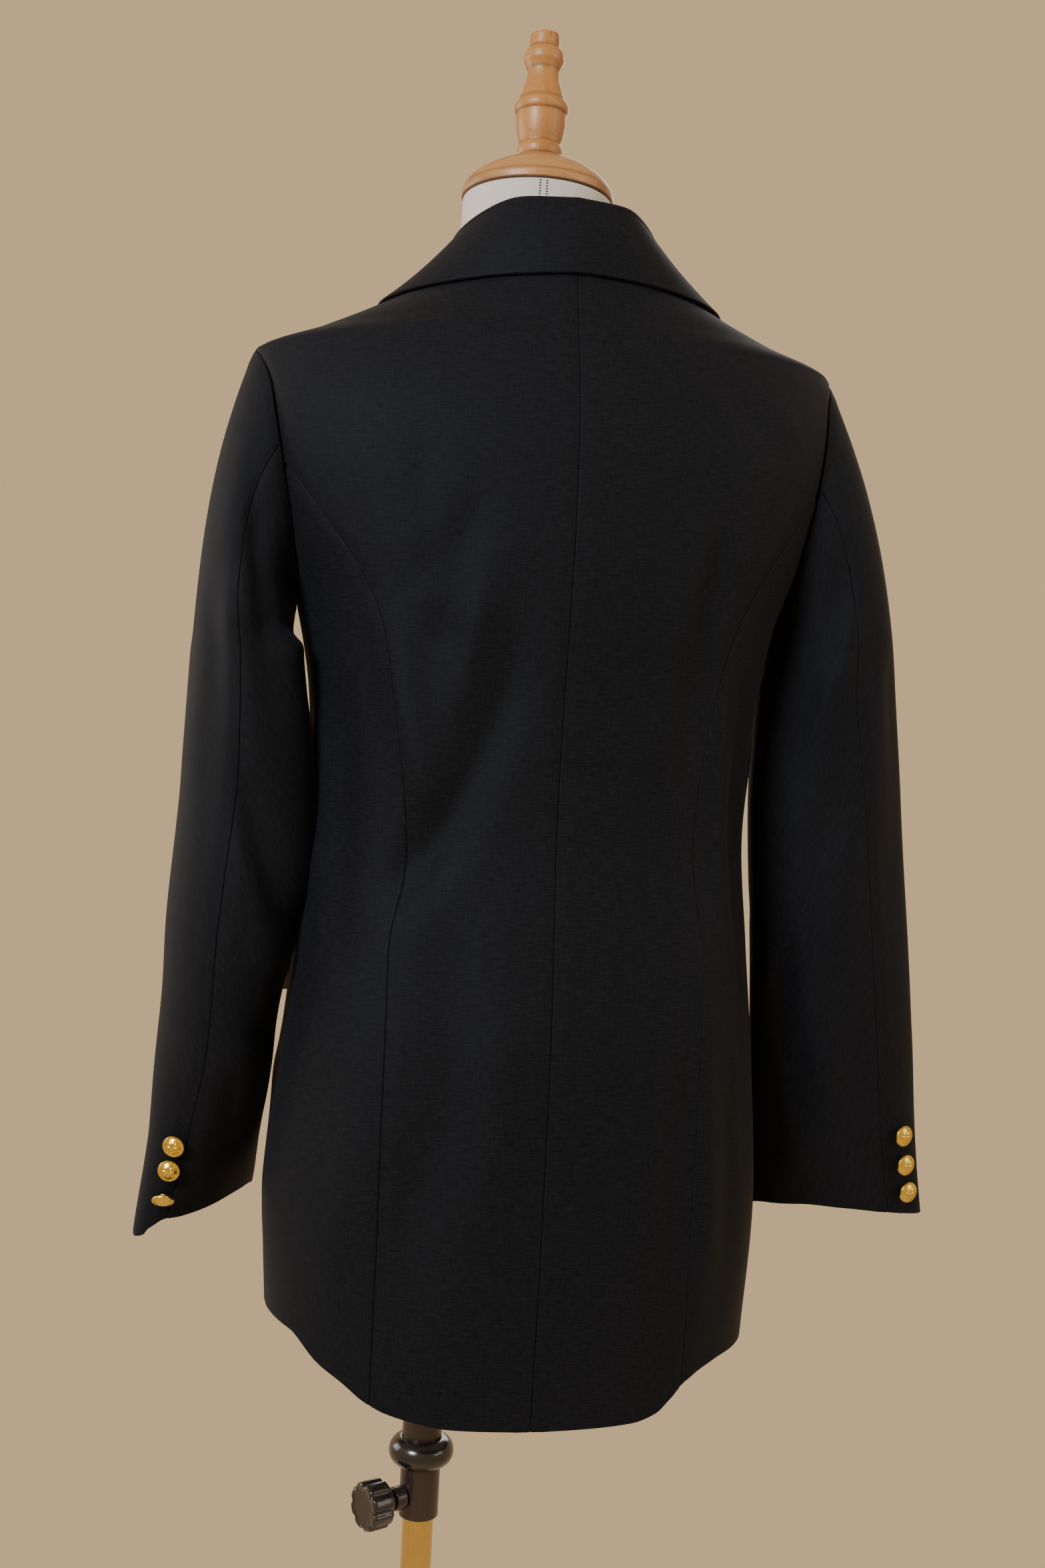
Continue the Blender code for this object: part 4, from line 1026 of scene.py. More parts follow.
# %% Cut and sew the sleeves
LEFT_FOLDS = (              # lines of (degrees round the sleeve, way down it)
    Fold(((55, -0.90), (92, -0.62), (104, -0.28), (112, 0.02), (118, 0.20)), 0.010, -0.0044),
    Fold(((118, -0.62), (126, -0.30), (122, -0.02), (136, 0.22)), 0.010, 0.0030),
    Fold(((78, -0.52), (84, -0.24), (78, 0.02)), 0.012, 0.0024),
    Fold(((62, 0.12), (96, 0.28), (128, 0.37), (160, 0.42)), 0.010, -0.0044),
    Fold(((70, 0.25), (104, 0.40), (140, 0.50)), 0.011, 0.0026),
    Fold(((76, 0.46), (108, 0.58), (150, 0.64)), 0.010, -0.0020),
    Fold(((40, -0.30), (48, 0.05), (42, 0.38)), 0.014, -0.0022),
    Fold(((70, 0.62), (78, 0.76), (74, 0.90)), 0.012, -0.0018),
    Fold(((134, -0.34), (136, -0.10), (139, 0.08), (143, 0.24), (148, 0.40), (156, 0.58)), 0.019, 0.0086),
    Fold(((172, 0.04), (172, 0.20), (174, 0.34), (178, 0.46)), 0.014, 0.0024),
    Fold(((250, 0.22), (222, 0.33), (196, 0.40)), 0.011, -0.0034),
    Fold(((256, 0.36), (230, 0.47), (200, 0.52)), 0.010, -0.0030),
    Fold(((300, 0.30), (272, 0.41), (240, 0.44)), 0.011, 0.0026),
    Fold(((318, -0.55), (292, -0.22), (282, 0.10)), 0.012, -0.0026),
    Fold(((345, -0.20), (330, 0.15), (338, 0.55)), 0.013, 0.0018),
    Fold(((265, 0.60), (285, 0.74), (300, 0.88)), 0.012, -0.0020),
)
RIGHT_FOLDS = (
    Fold(((84, -0.84), (98, -0.55), (112, -0.24), (130, 0.10), (140, 0.25)), 0.012, -0.0036),
    Fold(((88, -0.42), (102, -0.12), (122, 0.18)), 0.012, 0.0030),
    Fold(((70, -0.50), (76, -0.15), (98, 0.20), (120, 0.34)), 0.012, -0.0020),
    Fold(((132, 0.28), (138, 0.52), (141, 0.74), (146, 0.93)), 0.013, -0.0040),
    Fold(((88, 0.18), (98, 0.40), (100, 0.60), (92, 0.82)), 0.015, 0.0030),
    Fold(((92, 0.54), (82, 0.66), (74, 0.80)), 0.009, -0.0022),
    Fold(((112, 0.50), (122, 0.66), (112, 0.86)), 0.010, -0.0022),
    Fold(((48, -0.20), (42, 0.15), (50, 0.48)), 0.014, -0.0020),
    Fold(((155, -0.20), (164, 0.10), (158, 0.40)), 0.012, 0.0024),
    Fold(((252, 0.24), (222, 0.33), (192, 0.38)), 0.011, -0.0032),
    Fold(((262, 0.38), (236, 0.46), (204, 0.50)), 0.010, -0.0028),
    Fold(((300, 0.33), (270, 0.42), (244, 0.45)), 0.011, 0.0024),
    Fold(((316, -0.52), (294, -0.20), (280, 0.08)), 0.012, -0.0024),
    Fold(((240, 0.56), (262, 0.70), (250, 0.88)), 0.012, -0.0022),
)


def cuff_calm(way):
    return (1 - ease(way, 0.86, 0.99)) * ease(way, -1.0, -0.88)


def build_sleeve(word, side, table, folds):
    sleeve = Sleeve(side, table)
    head_ways = np.concatenate((-1 + 0.0035 * 1.5 ** np.arange(-2, 7), even(-0.94, -0.02, 0.024)))
    arm_ways = np.concatenate((even(0.0, 0.965, 0.0115), 1 - EDGE_STEPS[::-1] / ARM_LENGTH))
    ways = np.unique(np.round(np.concatenate(((-1.0,), head_ways, arm_ways)), 5))
    rows = ways[:, None]
    back, front = sleeve.seams(ways)

    def surface(angle):
        return sleeve.point(angle, rows)

    for part, low, high, count in (("top", front - 2 * pi, back, 36), ("under", back, front, 24)):
        places, lengths, angles = spread(low, high, count, surface)
        base = surface(angles)
        normals = sleeve.normal(angles, rows + 0 * angles)
        drop = lengths_along(base, 0)
        gaps = (places - SEAM / 2, lengths - SEAM / 2 - places, drop, drop[-1] - drop)
        lift = folded(base, folds, sleeve.on) * cuff_calm(rows) + edges_lift(gaps, (1, 1, 1, 0))
        u = places - np.median(lengths) / 2
        piece, cut = cloth_shell("cloth_sleeve_" + part + "_" + word, base + normals * lift[..., None],
                                 normals, u, -drop, pressed_and_shaded_beside(gaps))
        declare(piece, ["sleeve_" + part + "_" + word])
    return sleeve


left_sleeve = build_sleeve("left", 1, LEFT_SLEEVE, LEFT_FOLDS)
right_sleeve = build_sleeve("right", -1, RIGHT_SLEEVE, RIGHT_FOLDS)

# %% [markdown]
# ### Collar
#
# The collar stands up from the neck seam, folds over and falls onto the back and the shoulders.
# Its fold is pressed, so it runs straight across the neck and turns at a clear corner on each
# side, and the fall opens outwards from there to its points.

# %% Cut and fold the collar
# Columns: degrees and height of the neck seam, the fold's place (3), degrees and height of the
# fall's edge, how far the fall bows out
COLLAR = (
    (0, 0.3508, 0.000, 0.079, 0.3820, 0, 0.3285, 0.0025),
    (30, 0.3505, 0.035, 0.0725, 0.3810, 27, 0.3265, 0.0012),
    (57, 0.3482, 0.0565, 0.0520, 0.3760, 50, 0.3245, -0.0015),
    (78, 0.3454, 0.0690, 0.0240, 0.3690, 72, 0.3240, -0.0032),
    (92, 0.3432, 0.0735, -0.0030, 0.3590, 90, 0.3240, -0.0040),
    (110, 0.3412, 0.0740, -0.0260, 0.3470, 105, 0.3170, -0.0035),
    (128, 0.3380, 0.0740, -0.0400, 0.3360, 118, 0.3010, -0.0015),
)
FOLD_RADIUS = 0.0042
COLLAR_LIFT = 0.0014
COLLAR_BOW_UP = 0.0020
RIGHT_COLLAR_IN = 0.0045
HALF_COLLAR = 0.2
STAND_COLUMNS = (0.0, 0.03, 0.1, 0.2, 0.32, 0.44, 0.56, 0.7, 0.85)
FALL_COLUMNS = np.concatenate((even(0.04, 0.86, 0.041), (0.90, 0.935, 0.96, 0.977, 0.989, 1.0)))
ROUND_STEPS = 10            # from the stand over the fold to the fall
collar_at = reader([(row / (len(COLLAR) - 1),) + COLLAR[row] for row in range(len(COLLAR))])


def collar_grid():
    """Rows along the collar from its right end to its left one, columns from seam to edge."""
    steps = np.concatenate((1 - EDGE_STEPS / HALF_COLLAR, even(0.0, 0.94, 0.0125)))
    ways = np.unique(np.round(np.concatenate((-steps, steps)), 5))
    share = np.abs(ways)
    side = np.where(ways >= 0, 1.0, -1.0)
    seam_turn, seam_height, fold_x, fold_y, fold_height, edge_degrees, edge_height, bow_out = collar_at(share)
    fold_x = fold_x - np.where(side < 0, RIGHT_COLLAR_IN * ease(share, 0, 0.3), 0.0)
    mirror = point(side, 1.0, 1.0)
    seam = body_point(1, np.radians(seam_turn), seam_height) * mirror
    fold = point(side * fold_x, fold_y, fold_height)
    out = unit(point(fold[:, 0], fold[:, 1] + 0.01, 0.0))
    turn = np.radians(edge_degrees)
    edge = body_point(1, turn, edge_height) + body_normal(1, turn, edge_height) * (CLOTH + COLLAR_LIFT)
    edge = edge * mirror
    top = fold - np.array((0.0, 0.0, FOLD_RADIUS))
    up = np.array((0.0, 0.0, 1.0))
    columns = [mix(seam, top - out * FOLD_RADIUS, t) for t in STAND_COLUMNS]
    for step in range(ROUND_STEPS + 1):
        angle = pi - step * pi / ROUND_STEPS
        columns.append(top + out * FOLD_RADIUS * cos(angle) + up * FOLD_RADIUS * sin(angle))
    start = columns[-1]
    for t in FALL_COLUMNS:
        bow = (up * COLLAR_BOW_UP + out * bow_out[:, None]) * sin(pi * t)
        columns.append(mix(start, edge, t) + bow)
    return np.stack(columns, 1)


def build_collar():
    grid = collar_grid()
    middle = len(grid) // 2
    normals = unit(np.cross(np.gradient(grid, axis=1), np.gradient(grid, axis=0)))
    if normals[middle, len(STAND_COLUMNS) + ROUND_STEPS // 2, 2] < 0:
        normals = -normals
    v = lengths_along(grid, 1)
    u = lengths_along(grid, 0)
    gaps = (v, v[:, -1:] - v, u, u[-1] - u)
    piece, cut = loose_shell("cloth_collar", grid, normals, u - u[middle], v, gaps)
    declare(piece, ["collar"])


build_collar()

# %% [markdown]
# ### Lapels
#
# A lapel is the front's own edge, rolled back on itself. The piece starts behind the front's
# edge, goes round it in a soft roll and lies on the chest, with a peak at the notch below the
# collar.

# %% Roll the lapels
LAPEL_LOW = 0.080
LAPEL_NOTCH = 0.236
LAPEL_WIDTH = 0.070
LAPEL_TOP = 0.300
LAPEL_LIFT = 0.0007
LAPEL_BELLY = 0.0016
LAPEL_LENGTH = 0.2
ROLL_STEPS = 7


def build_lapel(word, side):
    ends = EDGE_STEPS / LAPEL_LENGTH
    shares = np.concatenate((ends, even(0.06, 0.94, 0.011), 1 - ends[::-1]))
    across = np.concatenate((even(0.0, 0.92, 0.04), (0.95, 0.972, 0.986, 0.995, 1.0)))
    share, cross = np.meshgrid(shares, across, indexing="ij")
    height = mix(LAPEL_LOW, mix(LAPEL_TOP, LAPEL_NOTCH, cross), share)
    grown = np.clip((height - LAPEL_LOW) / (LAPEL_NOTCH - LAPEL_LOW), 0, 1)
    width = mix(0.012, LAPEL_WIDTH, grown ** 0.85)
    turn = turn_of_x(edge_x(height) + 0.0005 + width * cross, height, True)
    normals = body_normal(side, turn, height)
    belly = LAPEL_BELLY * np.sin(pi * np.clip(cross, 0, 1)) * ease(share, 0.0, 0.3)
    lift = CLOTH + LAPEL_LIFT + overlap_lift(side, turn) + belly
    base = body_point(side, turn, height)
    grid = base + normals * lift[..., None]
    outwards = unit(grid[:, 0] - grid[:, 2])
    radius = (CLOTH * 2 + LAPEL_LIFT) / 2
    centre = grid[:, 0] - normals[:, 0] * radius
    roll = []
    roll_normals = []
    for step in range(ROLL_STEPS):
        angle = pi * step / ROLL_STEPS
        direction = -normals[:, 0] * cos(angle) + outwards * sin(angle)
        roll.append(centre + direction * radius)
        roll_normals.append(unit(direction))
    grid = np.concatenate((np.stack(roll, 1), grid), 1)
    normals = np.concatenate((np.stack(roll_normals, 1), normals), 1)
    u = lengths_along(grid, 1)
    v = lengths_along(grid, 0)
    gaps = (u[:, -1:] - u, v, v[-1] - v)
    piece, cut = loose_shell("cloth_lapel_" + word, grid, normals, u, v, gaps)
    declare(piece, ["lapel_" + word])


build_lapel("left", 1)
build_lapel("right", -1)

# %% [markdown]
# ### Pocket flaps
#
# A flap hangs from a straight seam over each hip. The left one has been pushed out at its rear
# corner, so it shows beside the body from behind.

# %% Hang the pocket flaps
FLAP_TOP = -0.098
FLAP_DEPTH = 0.050
FLAP_FROM = radians(104)
FLAP_TO = radians(146)
FLAP_LIFT = 0.0007
FLAP_CORNER = 0.010
FLAP_WIDTH = 0.11
FLAP_SLANT = 0.010


def build_flap(word, side, flare):
    ends = EDGE_STEPS / FLAP_DEPTH
    shares = np.concatenate((ends, even(0.20, 0.80, 0.05), 1 - ends[::-1]))
    ends = EDGE_STEPS / FLAP_WIDTH
    across = np.concatenate((ends, even(0.10, 0.90, 0.035), 1 - ends[::-1]))
    share, cross = np.meshgrid(shares, across, indexing="ij")
    turn = mix(FLAP_FROM, FLAP_TO, cross)
    from_end = np.minimum(cross, 1 - cross) * FLAP_WIDTH
    into_corner = np.clip(FLAP_CORNER - from_end, 0, None)
    rounding = FLAP_CORNER - np.sqrt(np.clip(FLAP_CORNER ** 2 - into_corner ** 2, 0, None))
    height = FLAP_TOP - share * (FLAP_DEPTH - rounding * 0.8) - FLAP_SLANT * cross
    normals = body_normal(side, turn, height)
    base = body_point(side, turn, height)
    stand_off = flare * share ** 1.5 * (1 - 0.8 * cross)
    belly = folded(base, BODY_FOLDS, on_body) * calm(side, turn, height)
    sag = 0.0008 * np.sin(cross * 5.0 + side) * share
    lift = CLOTH + FLAP_LIFT + stand_off + np.maximum(belly, 0) + sag
    grid = base + normals * lift[..., None]
    u = lengths_along(grid, 1)
    v = lengths_along(grid, 0)
    gaps = (u, u[:, -1:] - u, v, v[-1] - v)
    piece, cut = loose_shell("cloth_flap_" + word, grid, normals, u, -v, gaps)
    declare(piece, ["flap_" + word])


build_flap("left", 1, 0.009)
build_flap("right", -1, 0.002)

# %% [markdown]
# ## Turned pieces
#
# The form's cap and finial, the pole and its clamp are all turned on a lathe, so each is a
# profile swept round an axis. A smooth curve through the profile's points gives the soft
# shoulders that sanding leaves.

# %% A lathe
UP = Vector((0.0, 0.0, 1.0))


def smooth_profile(profile, steps):
    """More points along a profile, on the smooth curve through them."""
    rows = np.array(profile, float)
    places = np.arange(len(rows), dtype=float)
    read = reader(np.column_stack((places, rows)))
    along, radius = read(np.linspace(0, len(rows) - 1, (len(rows) - 1) * steps + 1))
    return list(zip(along.tolist(), np.maximum(radius, 0.0).tolist()))


def square_to(axis):
    """Two directions at right angles to an axis and to each other."""
    helper = Vector((1, 0, 0)) if abs(axis.x) < 0.9 else Vector((0, 1, 0))
    u = (helper - axis * helper.dot(axis)).normalized()
    return u, axis.cross(u)


def solid_object(name, sheet, material, sharp, body, nodes):
    """Makes an object of a closed surface, with its finish, its body and what it stands for."""
    bmesh.ops.recalc_face_normals(sheet, faces=sheet.faces)
    mesh = bpy.data.meshes.new(name)
    sheet.to_mesh(mesh)
    sheet.free()
    mesh.materials.append(material)
    mesh.shade_smooth()
    mesh.set_sharp_from_angle(angle=radians(sharp))
    piece = add_object(name, mesh)
    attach(piece, body)
    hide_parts(*nodes)
    print(name, len(mesh.polygons), "faces")
    return piece


def lathe(name, profile, centre, material, sides, body, nodes, axis=UP, shape=None):
    """A solid of revolution about an axis, closed at its poles or round its bore."""
    u, v = square_to(axis)
    sheet = bmesh.new()
    rings = []
    for along, radius in profile:
        count = 1 if radius < 1e-7 else sides
        ring = []
        for step in range(count):
            angle = 2 * pi * step / sides
            far, high = (radius, along) if shape is None else shape(radius, along, angle)
            ring.append(sheet.verts.new(centre + axis * high + (u * cos(angle) + v * sin(angle)) * far))
        rings.append(ring)
    if profile[0][1] > 1e-7:
        rings.append(rings[0])
    for low, high in zip(rings, rings[1:]):
        for step in range(sides):
            after = (step + 1) % sides
            corners = [low[step % len(low)], low[after % len(low)]]
            corners += [high[after % len(high)], high[step % len(high)]]
            corners = list(dict.fromkeys(corners))
            if len(corners) > 2:
                sheet.faces.new(corners)
    return solid_object(name, sheet, material, 38, body, nodes)


# %% [markdown]
# ### Gold buttons
#
# Seven domed metal buttons with a shank: three on each cuff and one at the front. Each face has
# a rolled rim, a ring of small beads and a plain eight-petalled rosette. The beads repeat round
# a circle, so Geometry Nodes set them out: a circle of edges becomes a curve, the curve becomes
# points, and each point gets a bead. A bead drawn out along its path is a stitch.

# %% Beads and stitches with Geometry Nodes
def repeat_tree():
    """Puts a small rounded bead, which may be drawn out into a stitch, at even steps of a path."""
    tree = bpy.data.node_groups.new("beads along a path", "GeometryNodeTree")
    tree.interface.new_socket("Geometry", in_out="INPUT", socket_type="NodeSocketGeometry")
    for label, kind, value in (("Count", "NodeSocketInt", 30), ("Radius", "NodeSocketFloat", 0.0004),
                               ("Stretch", "NodeSocketFloat", 1.0)):
        made = tree.interface.new_socket(label, in_out="INPUT", socket_type=kind)
        made.default_value = value
    made = tree.interface.new_socket("Finish", in_out="INPUT", socket_type="NodeSocketMaterial")
    tree.interface.new_socket("Geometry", in_out="OUTPUT", socket_type="NodeSocketGeometry")
    new = tree.nodes.new
    link = tree.links.new
    start = new("NodeGroupInput")
    end = new("NodeGroupOutput")
    curve = new("GeometryNodeMeshToCurve")
    spots = new("GeometryNodeCurveToPoints")
    bead = new("GeometryNodeMeshIcoSphere")
    bead.inputs["Subdivisions"].default_value = 2
    shape = new("ShaderNodeCombineXYZ")
    place = new("GeometryNodeInstanceOnPoints")
    real = new("GeometryNodeRealizeInstances")
    paint = new("GeometryNodeSetMaterial")
    link(start.outputs["Geometry"], curve.inputs[0])
    link(curve.outputs[0], spots.inputs["Curve"])
    link(start.outputs["Count"], spots.inputs["Count"])
    link(start.outputs["Radius"], bead.inputs["Radius"])
    link(start.outputs["Stretch"], shape.inputs["X"])
    shape.inputs["Y"].default_value = 1.0
    shape.inputs["Z"].default_value = 1.0
    link(spots.outputs["Points"], place.inputs["Points"])
    link(spots.outputs["Rotation"], place.inputs["Rotation"])
    link(bead.outputs["Mesh"], place.inputs["Instance"])
    link(shape.outputs[0], place.inputs["Scale"])
    link(place.outputs[0], real.inputs[0])
    link(real.outputs[0], paint.inputs["Geometry"])
    link(start.outputs["Finish"], paint.inputs["Material"])
    link(paint.outputs[0], end.inputs[0])
    return tree


REPEAT = repeat_tree()


def along_path(name, paths, material, slot, **sizes):
    """One plain mesh of beads or stitches that follow paths of points."""
    mesh = bpy.data.meshes.new(name)
    verts = [tuple(place) for path in paths for place in path]
    edges = []
    start = 0
    for path in paths:
        edges += [(start + step, start + step + 1) for step in range(len(path) - 1)]
        start += len(path)
    mesh.from_pydata(verts, edges, [])
    host = add_object(name, mesh)
    modifier = host.modifiers.new("beads", "NODES")
    modifier.node_group = REPEAT
    values = dict(sizes, Finish=material)
    for item in REPEAT.interface.items_tree:
        if item.in_out == "INPUT" and item.name in values:
            modifier[item.identifier] = values[item.name]
    graph = bpy.context.evaluated_depsgraph_get()
    made = bpy.data.meshes.new_from_object(host.evaluated_get(graph))
    host.modifiers.remove(modifier)
    host.data = made
    made.name = name
    made.shade_smooth()
    if not made.materials:
        made.materials.append(material)
    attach(host, WORN)
    print(name, len(made.polygons), "faces")


# %% Turn the buttons
CUFF_BUTTON_R = 0.0075
FRONT_BUTTON_R = 0.0100
CUFF_BUTTON_PITCH = 0.0185
CUFF_BUTTON_FROM_HEM = {"left": 0.024, "right": 0.018}
CUFF_BUTTON_SHIFT = {"left": radians(12), "right": radians(17)}
CUFF_BUTTON_LIFT = 0.0008
TIPPED_LIFT = 0.0042        # the left sleeve's lowest button hangs off the cloth, tipped down
TIPPED_DOWN = 1.1
FRONT_BUTTON_DROP = 0.020   # below the height where the lapel breaks
FRONT_BUTTON_LIFT = 0.0006
BEADS = 34
BEAD_R = 0.00046
BEAD_RING = 0.835           # share of the button's radius
SHANK_LENGTH = 0.0031
PETALS_FROM = 0.14
BOSS_SHARE = 0.12


def build_button(name, place, normal, radius):
    """A shank button whose face has a rim, beads and a rosette."""
    rim = SHANK_LENGTH
    profile = [(SEAM, 0.0), (SEAM, 0.0012), (SEAM + 0.0002, 0.0019), (rim - 0.0004, 0.0018), (rim, 0.0024),
               (rim + 0.0002, 0.85 * radius), (rim + 0.0004, 0.955 * radius), (rim + 0.0009, radius),
               (rim + 0.0015, 0.995 * radius), (rim + 0.0021, 0.955 * radius), (rim + 0.0021, 0.905 * radius),
               (rim + 0.0018, 0.87 * radius), (rim + 0.0019, 0.80 * radius), (rim + 0.0024, 0.74 * radius)]
    for share in (0.70, 0.64, 0.58, 0.52, 0.46, 0.40, 0.34, 0.28, 0.22, 0.16, 0.10, 0.05, 0.0):
        profile.append((rim + 0.0029 + 0.0019 * (1 - (share / 0.74) ** 2), share * radius))

    def petals(far, high, angle):
        share = far / radius
        if high < rim + 0.0025:
            return far, high
        petal = abs(cos(4 * angle)) ** 0.6
        leaf = petal * sin(pi * min(max((share - PETALS_FROM) / 0.50, 0.0), 1.0)) ** 0.8
        boss = max(0.0, 1 - (share / BOSS_SHARE) ** 2)
        return far, high - 0.0005 + 0.00042 * leaf + 0.0004 * boss

    centre = Vector(place)
    axis = Vector(normal).normalized()
    lathe("gold_" + name, profile, centre, GOLD, 64, WORN, [name], axis, petals)
    u, v = square_to(axis)
    ring = []
    for step in range(49):
        angle = 2 * pi * step / 48
        outwards = u * cos(angle) + v * sin(angle)
        ring.append(centre + axis * (rim + 0.0021) + outwards * BEAD_RING * radius)
    bead_size = BEAD_R * radius / CUFF_BUTTON_R
    along_path("beads_" + name, [ring], GOLD, "gold_button", Count=BEADS, Radius=bead_size)


def build_cuff_buttons(word, sleeve):
    table = sleeve.table
    length = (Vector(table[-1][:3]) - Vector(table[-2][:3])).length * (len(table) - 1)
    for number in range(3):
        way = 1 - (CUFF_BUTTON_FROM_HEM[word] + number * CUFF_BUTTON_PITCH) / length
        angle = sleeve.seams(way)[0] - CUFF_BUTTON_SHIFT[word]
        place = sleeve.point(angle, way)
        normal = sleeve.normal(angle, np.array(way))
        tipped = word == "left" and number == 0
        place = place + normal * (TIPPED_LIFT if tipped else CUFF_BUTTON_LIFT)
        if tipped:
            normal = unit(normal - np.array((0.0, 0.0, TIPPED_DOWN)))
        build_button("cuff_button_%s_%d" % (word, number + 1), settle(place), normal, CUFF_BUTTON_R)


build_cuff_buttons("left", left_sleeve)
build_cuff_buttons("right", right_sleeve)
button_height = np.array(BREAK_HEIGHT - FRONT_BUTTON_DROP)
button_turn = np.array(pi)
button_normal = body_normal(-1, button_turn, button_height)
button_lift = overlap_lift(-1, button_turn) + FRONT_BUTTON_LIFT
button_place = body_point(-1, button_turn, button_height) + button_normal * button_lift
build_button("front_button", settle(button_place), button_normal, FRONT_BUTTON_R)

# %% [markdown]
# The front button sits in a buttonhole, which runs back from the front edge. Its two sides and
# its round ends are stitched over.

# %% Stitch the buttonhole round the front button
HOLE_LENGTH = 0.024
HOLE_HALF = 0.0009
HOLE_MIDDLE = 0.002         # from the blazer's middle plane
STITCH_LIFT = 0.00015
hole_line = []
for share in np.linspace(0, 2 * pi, 61)[:-1]:
    across = HOLE_MIDDLE + 0.5 * HOLE_LENGTH * cos(share)
    level = button_height + HOLE_HALF * sin(share)
    turn = turn_of_x(np.array(across), level, True)
    lift = overlap_lift(-1, turn) + STITCH_LIFT
    spot = body_point(-1, turn, level) + body_normal(-1, turn, level) * lift
    hole_line.append(Vector(settle(spot)))
hole_line.append(hole_line[0])
along_path("buttonhole_stitches", [hole_line], THREAD, "suiting", Count=90, Radius=0.00032, Stretch=1.6)

# %% [markdown]
# ## The dress form
#
# The form is one smooth padded body inside the blazer, covered in jersey. Only a band of its
# neck shows above the collar, where the cover's back seam ends in two close lines of stitches.

# %% Build the form
FORM = (                    # height, clearance to the cloth, sideways lean
    (-0.352, 0.036, 0.019), (-0.345, 0.028, 0.019), (-0.300, 0.024, 0.018), (-0.200, 0.023, 0.016),
    (-0.100, 0.018, 0.012), (-0.025, 0.016, 0.009), (0.050, 0.014, 0.006), (0.115, 0.012, 0.004),
    (0.180, 0.015, 0.002), (0.240, 0.016, 0.001), (0.275, 0.012, 0.000), (0.292, 0.005, 0.000),
    (0.303, 0.0018, 0.000), (0.317, 0.0018, 0.000), (0.330, 0.0070, 0.000),
)
FORM_FLOOR = -0.3525
FORM_COLUMNS = 128
NECK_X = 0.014
NECK_Y = 0.004
NECK_R = 0.0515
NECK_TOP = 0.4015
NECK_RINGS = (              # height, radius
    (0.3400, 0.0565), (0.3500, 0.0540), (0.3600, 0.0523), (0.3700, 0.0515), (0.3850, 0.0513),
    (0.3990, 0.0512), (NECK_TOP - 0.0006, 0.0509), (NECK_TOP, 0.0500),
)
SEAM_TURN = 0.14            # turn of the cover's seam round the neck, from the middle of the back
SOCKET_R = 0.0125
SOCKET_TOP = 1.000
form_at = reader(FORM)


def form_rings():
    """Rings of points from the underside to the top of the neck."""
    steps = np.arange(FORM_COLUMNS) / FORM_COLUMNS * 2
    side = np.where(steps <= 1, 1.0, -1.0)
    turn = np.where(steps <= 1, steps, 2 - steps) * pi
    mirror = point(side, 1.0, 1.0)
    rings = []
    for height in np.concatenate((even(-0.352, 0.290, 0.009), even(0.2935, 0.330, 0.0036))):
        clearance, lean = form_at(height)
        heights = height + 0 * turn
        inwards = body_normal(1, turn, heights) * (CLOTH + clearance)
        ring = (body_point(1, turn, heights) - inwards) * mirror
        ring[:, 0] += lean
        rings.append(ring)
    rings[0][:, 2] = FORM_FLOOR
    angle = 2 * pi * np.arange(FORM_COLUMNS) / FORM_COLUMNS
    for height, radius in NECK_RINGS:
        rings.append(point(NECK_X + radius * np.sin(angle), NECK_Y + radius * np.cos(angle), height))
    return [settle(ring) for ring in rings]


def build_form():
    angle = 2 * pi * np.arange(FORM_COLUMNS) / FORM_COLUMNS
    rings = []
    for radius, height in ((SOCKET_R, SOCKET_TOP), (SOCKET_R, WAIST + FORM_FLOOR)):
        rings.append(point(radius * np.sin(angle), radius * np.cos(angle), height))
    rings += form_rings()
    sheet = bmesh.new()
    verts = [[sheet.verts.new(place) for place in ring] for ring in rings]
    for low, high in zip(verts, verts[1:]):
        for step in range(FORM_COLUMNS):
            after = (step + 1) % FORM_COLUMNS
            sheet.faces.new((low[step], low[after], high[after], high[step]))
    sheet.faces.new(verts[0])
    sheet.faces.new(verts[-1])
    piece = solid_object("covered_form", sheet, JERSEY, 50, WORN, ["dress_form"])


build_form()
neck_lines = []
for shift in (-0.0045, 0.0):
    line = []
    for height in even(0.362, 0.3995, 0.002):
        around = SEAM_TURN + shift / NECK_R
        x = GARMENT_X + NECK_X + (NECK_R + 0.0001) * sin(around)
        y = NECK_Y + (NECK_R + 0.0001) * cos(around)
        line.append(Vector((x, y, WAIST + float(height))))
    neck_lines.append(line)
along_path("neck_seam_stitches", neck_lines, THREAD, "jersey", Count=22, Radius=0.00035, Stretch=2.2)

# %% [markdown]
# ### Neck cap and finial
#
# The cap is a low turned dome on the neck. The finial above it has a collar, a belly, a ring and
# a waist, and ends in a stub whose top is broken off, with a chip out of its edge.

# %% Turn the cap and the finial
CAP_PROFILE = (
    (0.4020, 0.0000), (0.4020, 0.0500), (0.4026, 0.0520), (0.4060, 0.0522), (0.4110, 0.0500),
    (0.4170, 0.0445), (0.4230, 0.0360), (0.4280, 0.0255), (0.4312, 0.0160), (0.4320, 0.0000),
)
FINIAL_PROFILE = (
    (0.4323, 0.0000), (0.4323, 0.0145), (0.4345, 0.0156), (0.4370, 0.0158), (0.4395, 0.0150),
    (0.4415, 0.0143), (0.4480, 0.0160), (0.4560, 0.0171), (0.4615, 0.0172), (0.4635, 0.0182),
    (0.4660, 0.0187), (0.4685, 0.0182), (0.4705, 0.0168), (0.4780, 0.0140), (0.4860, 0.0115),
    (0.4910, 0.0110), (0.4950, 0.0122), (0.4990, 0.0138), (0.5030, 0.0136), (0.5065, 0.0115),
    (0.5085, 0.0104), (0.5160, 0.0102),
)
STUB_TOP = [(0.5168, 0.0100), (0.5172, 0.0092), (0.5172, 0.0065), (0.5172, 0.0035), (0.5172, 0.0)]
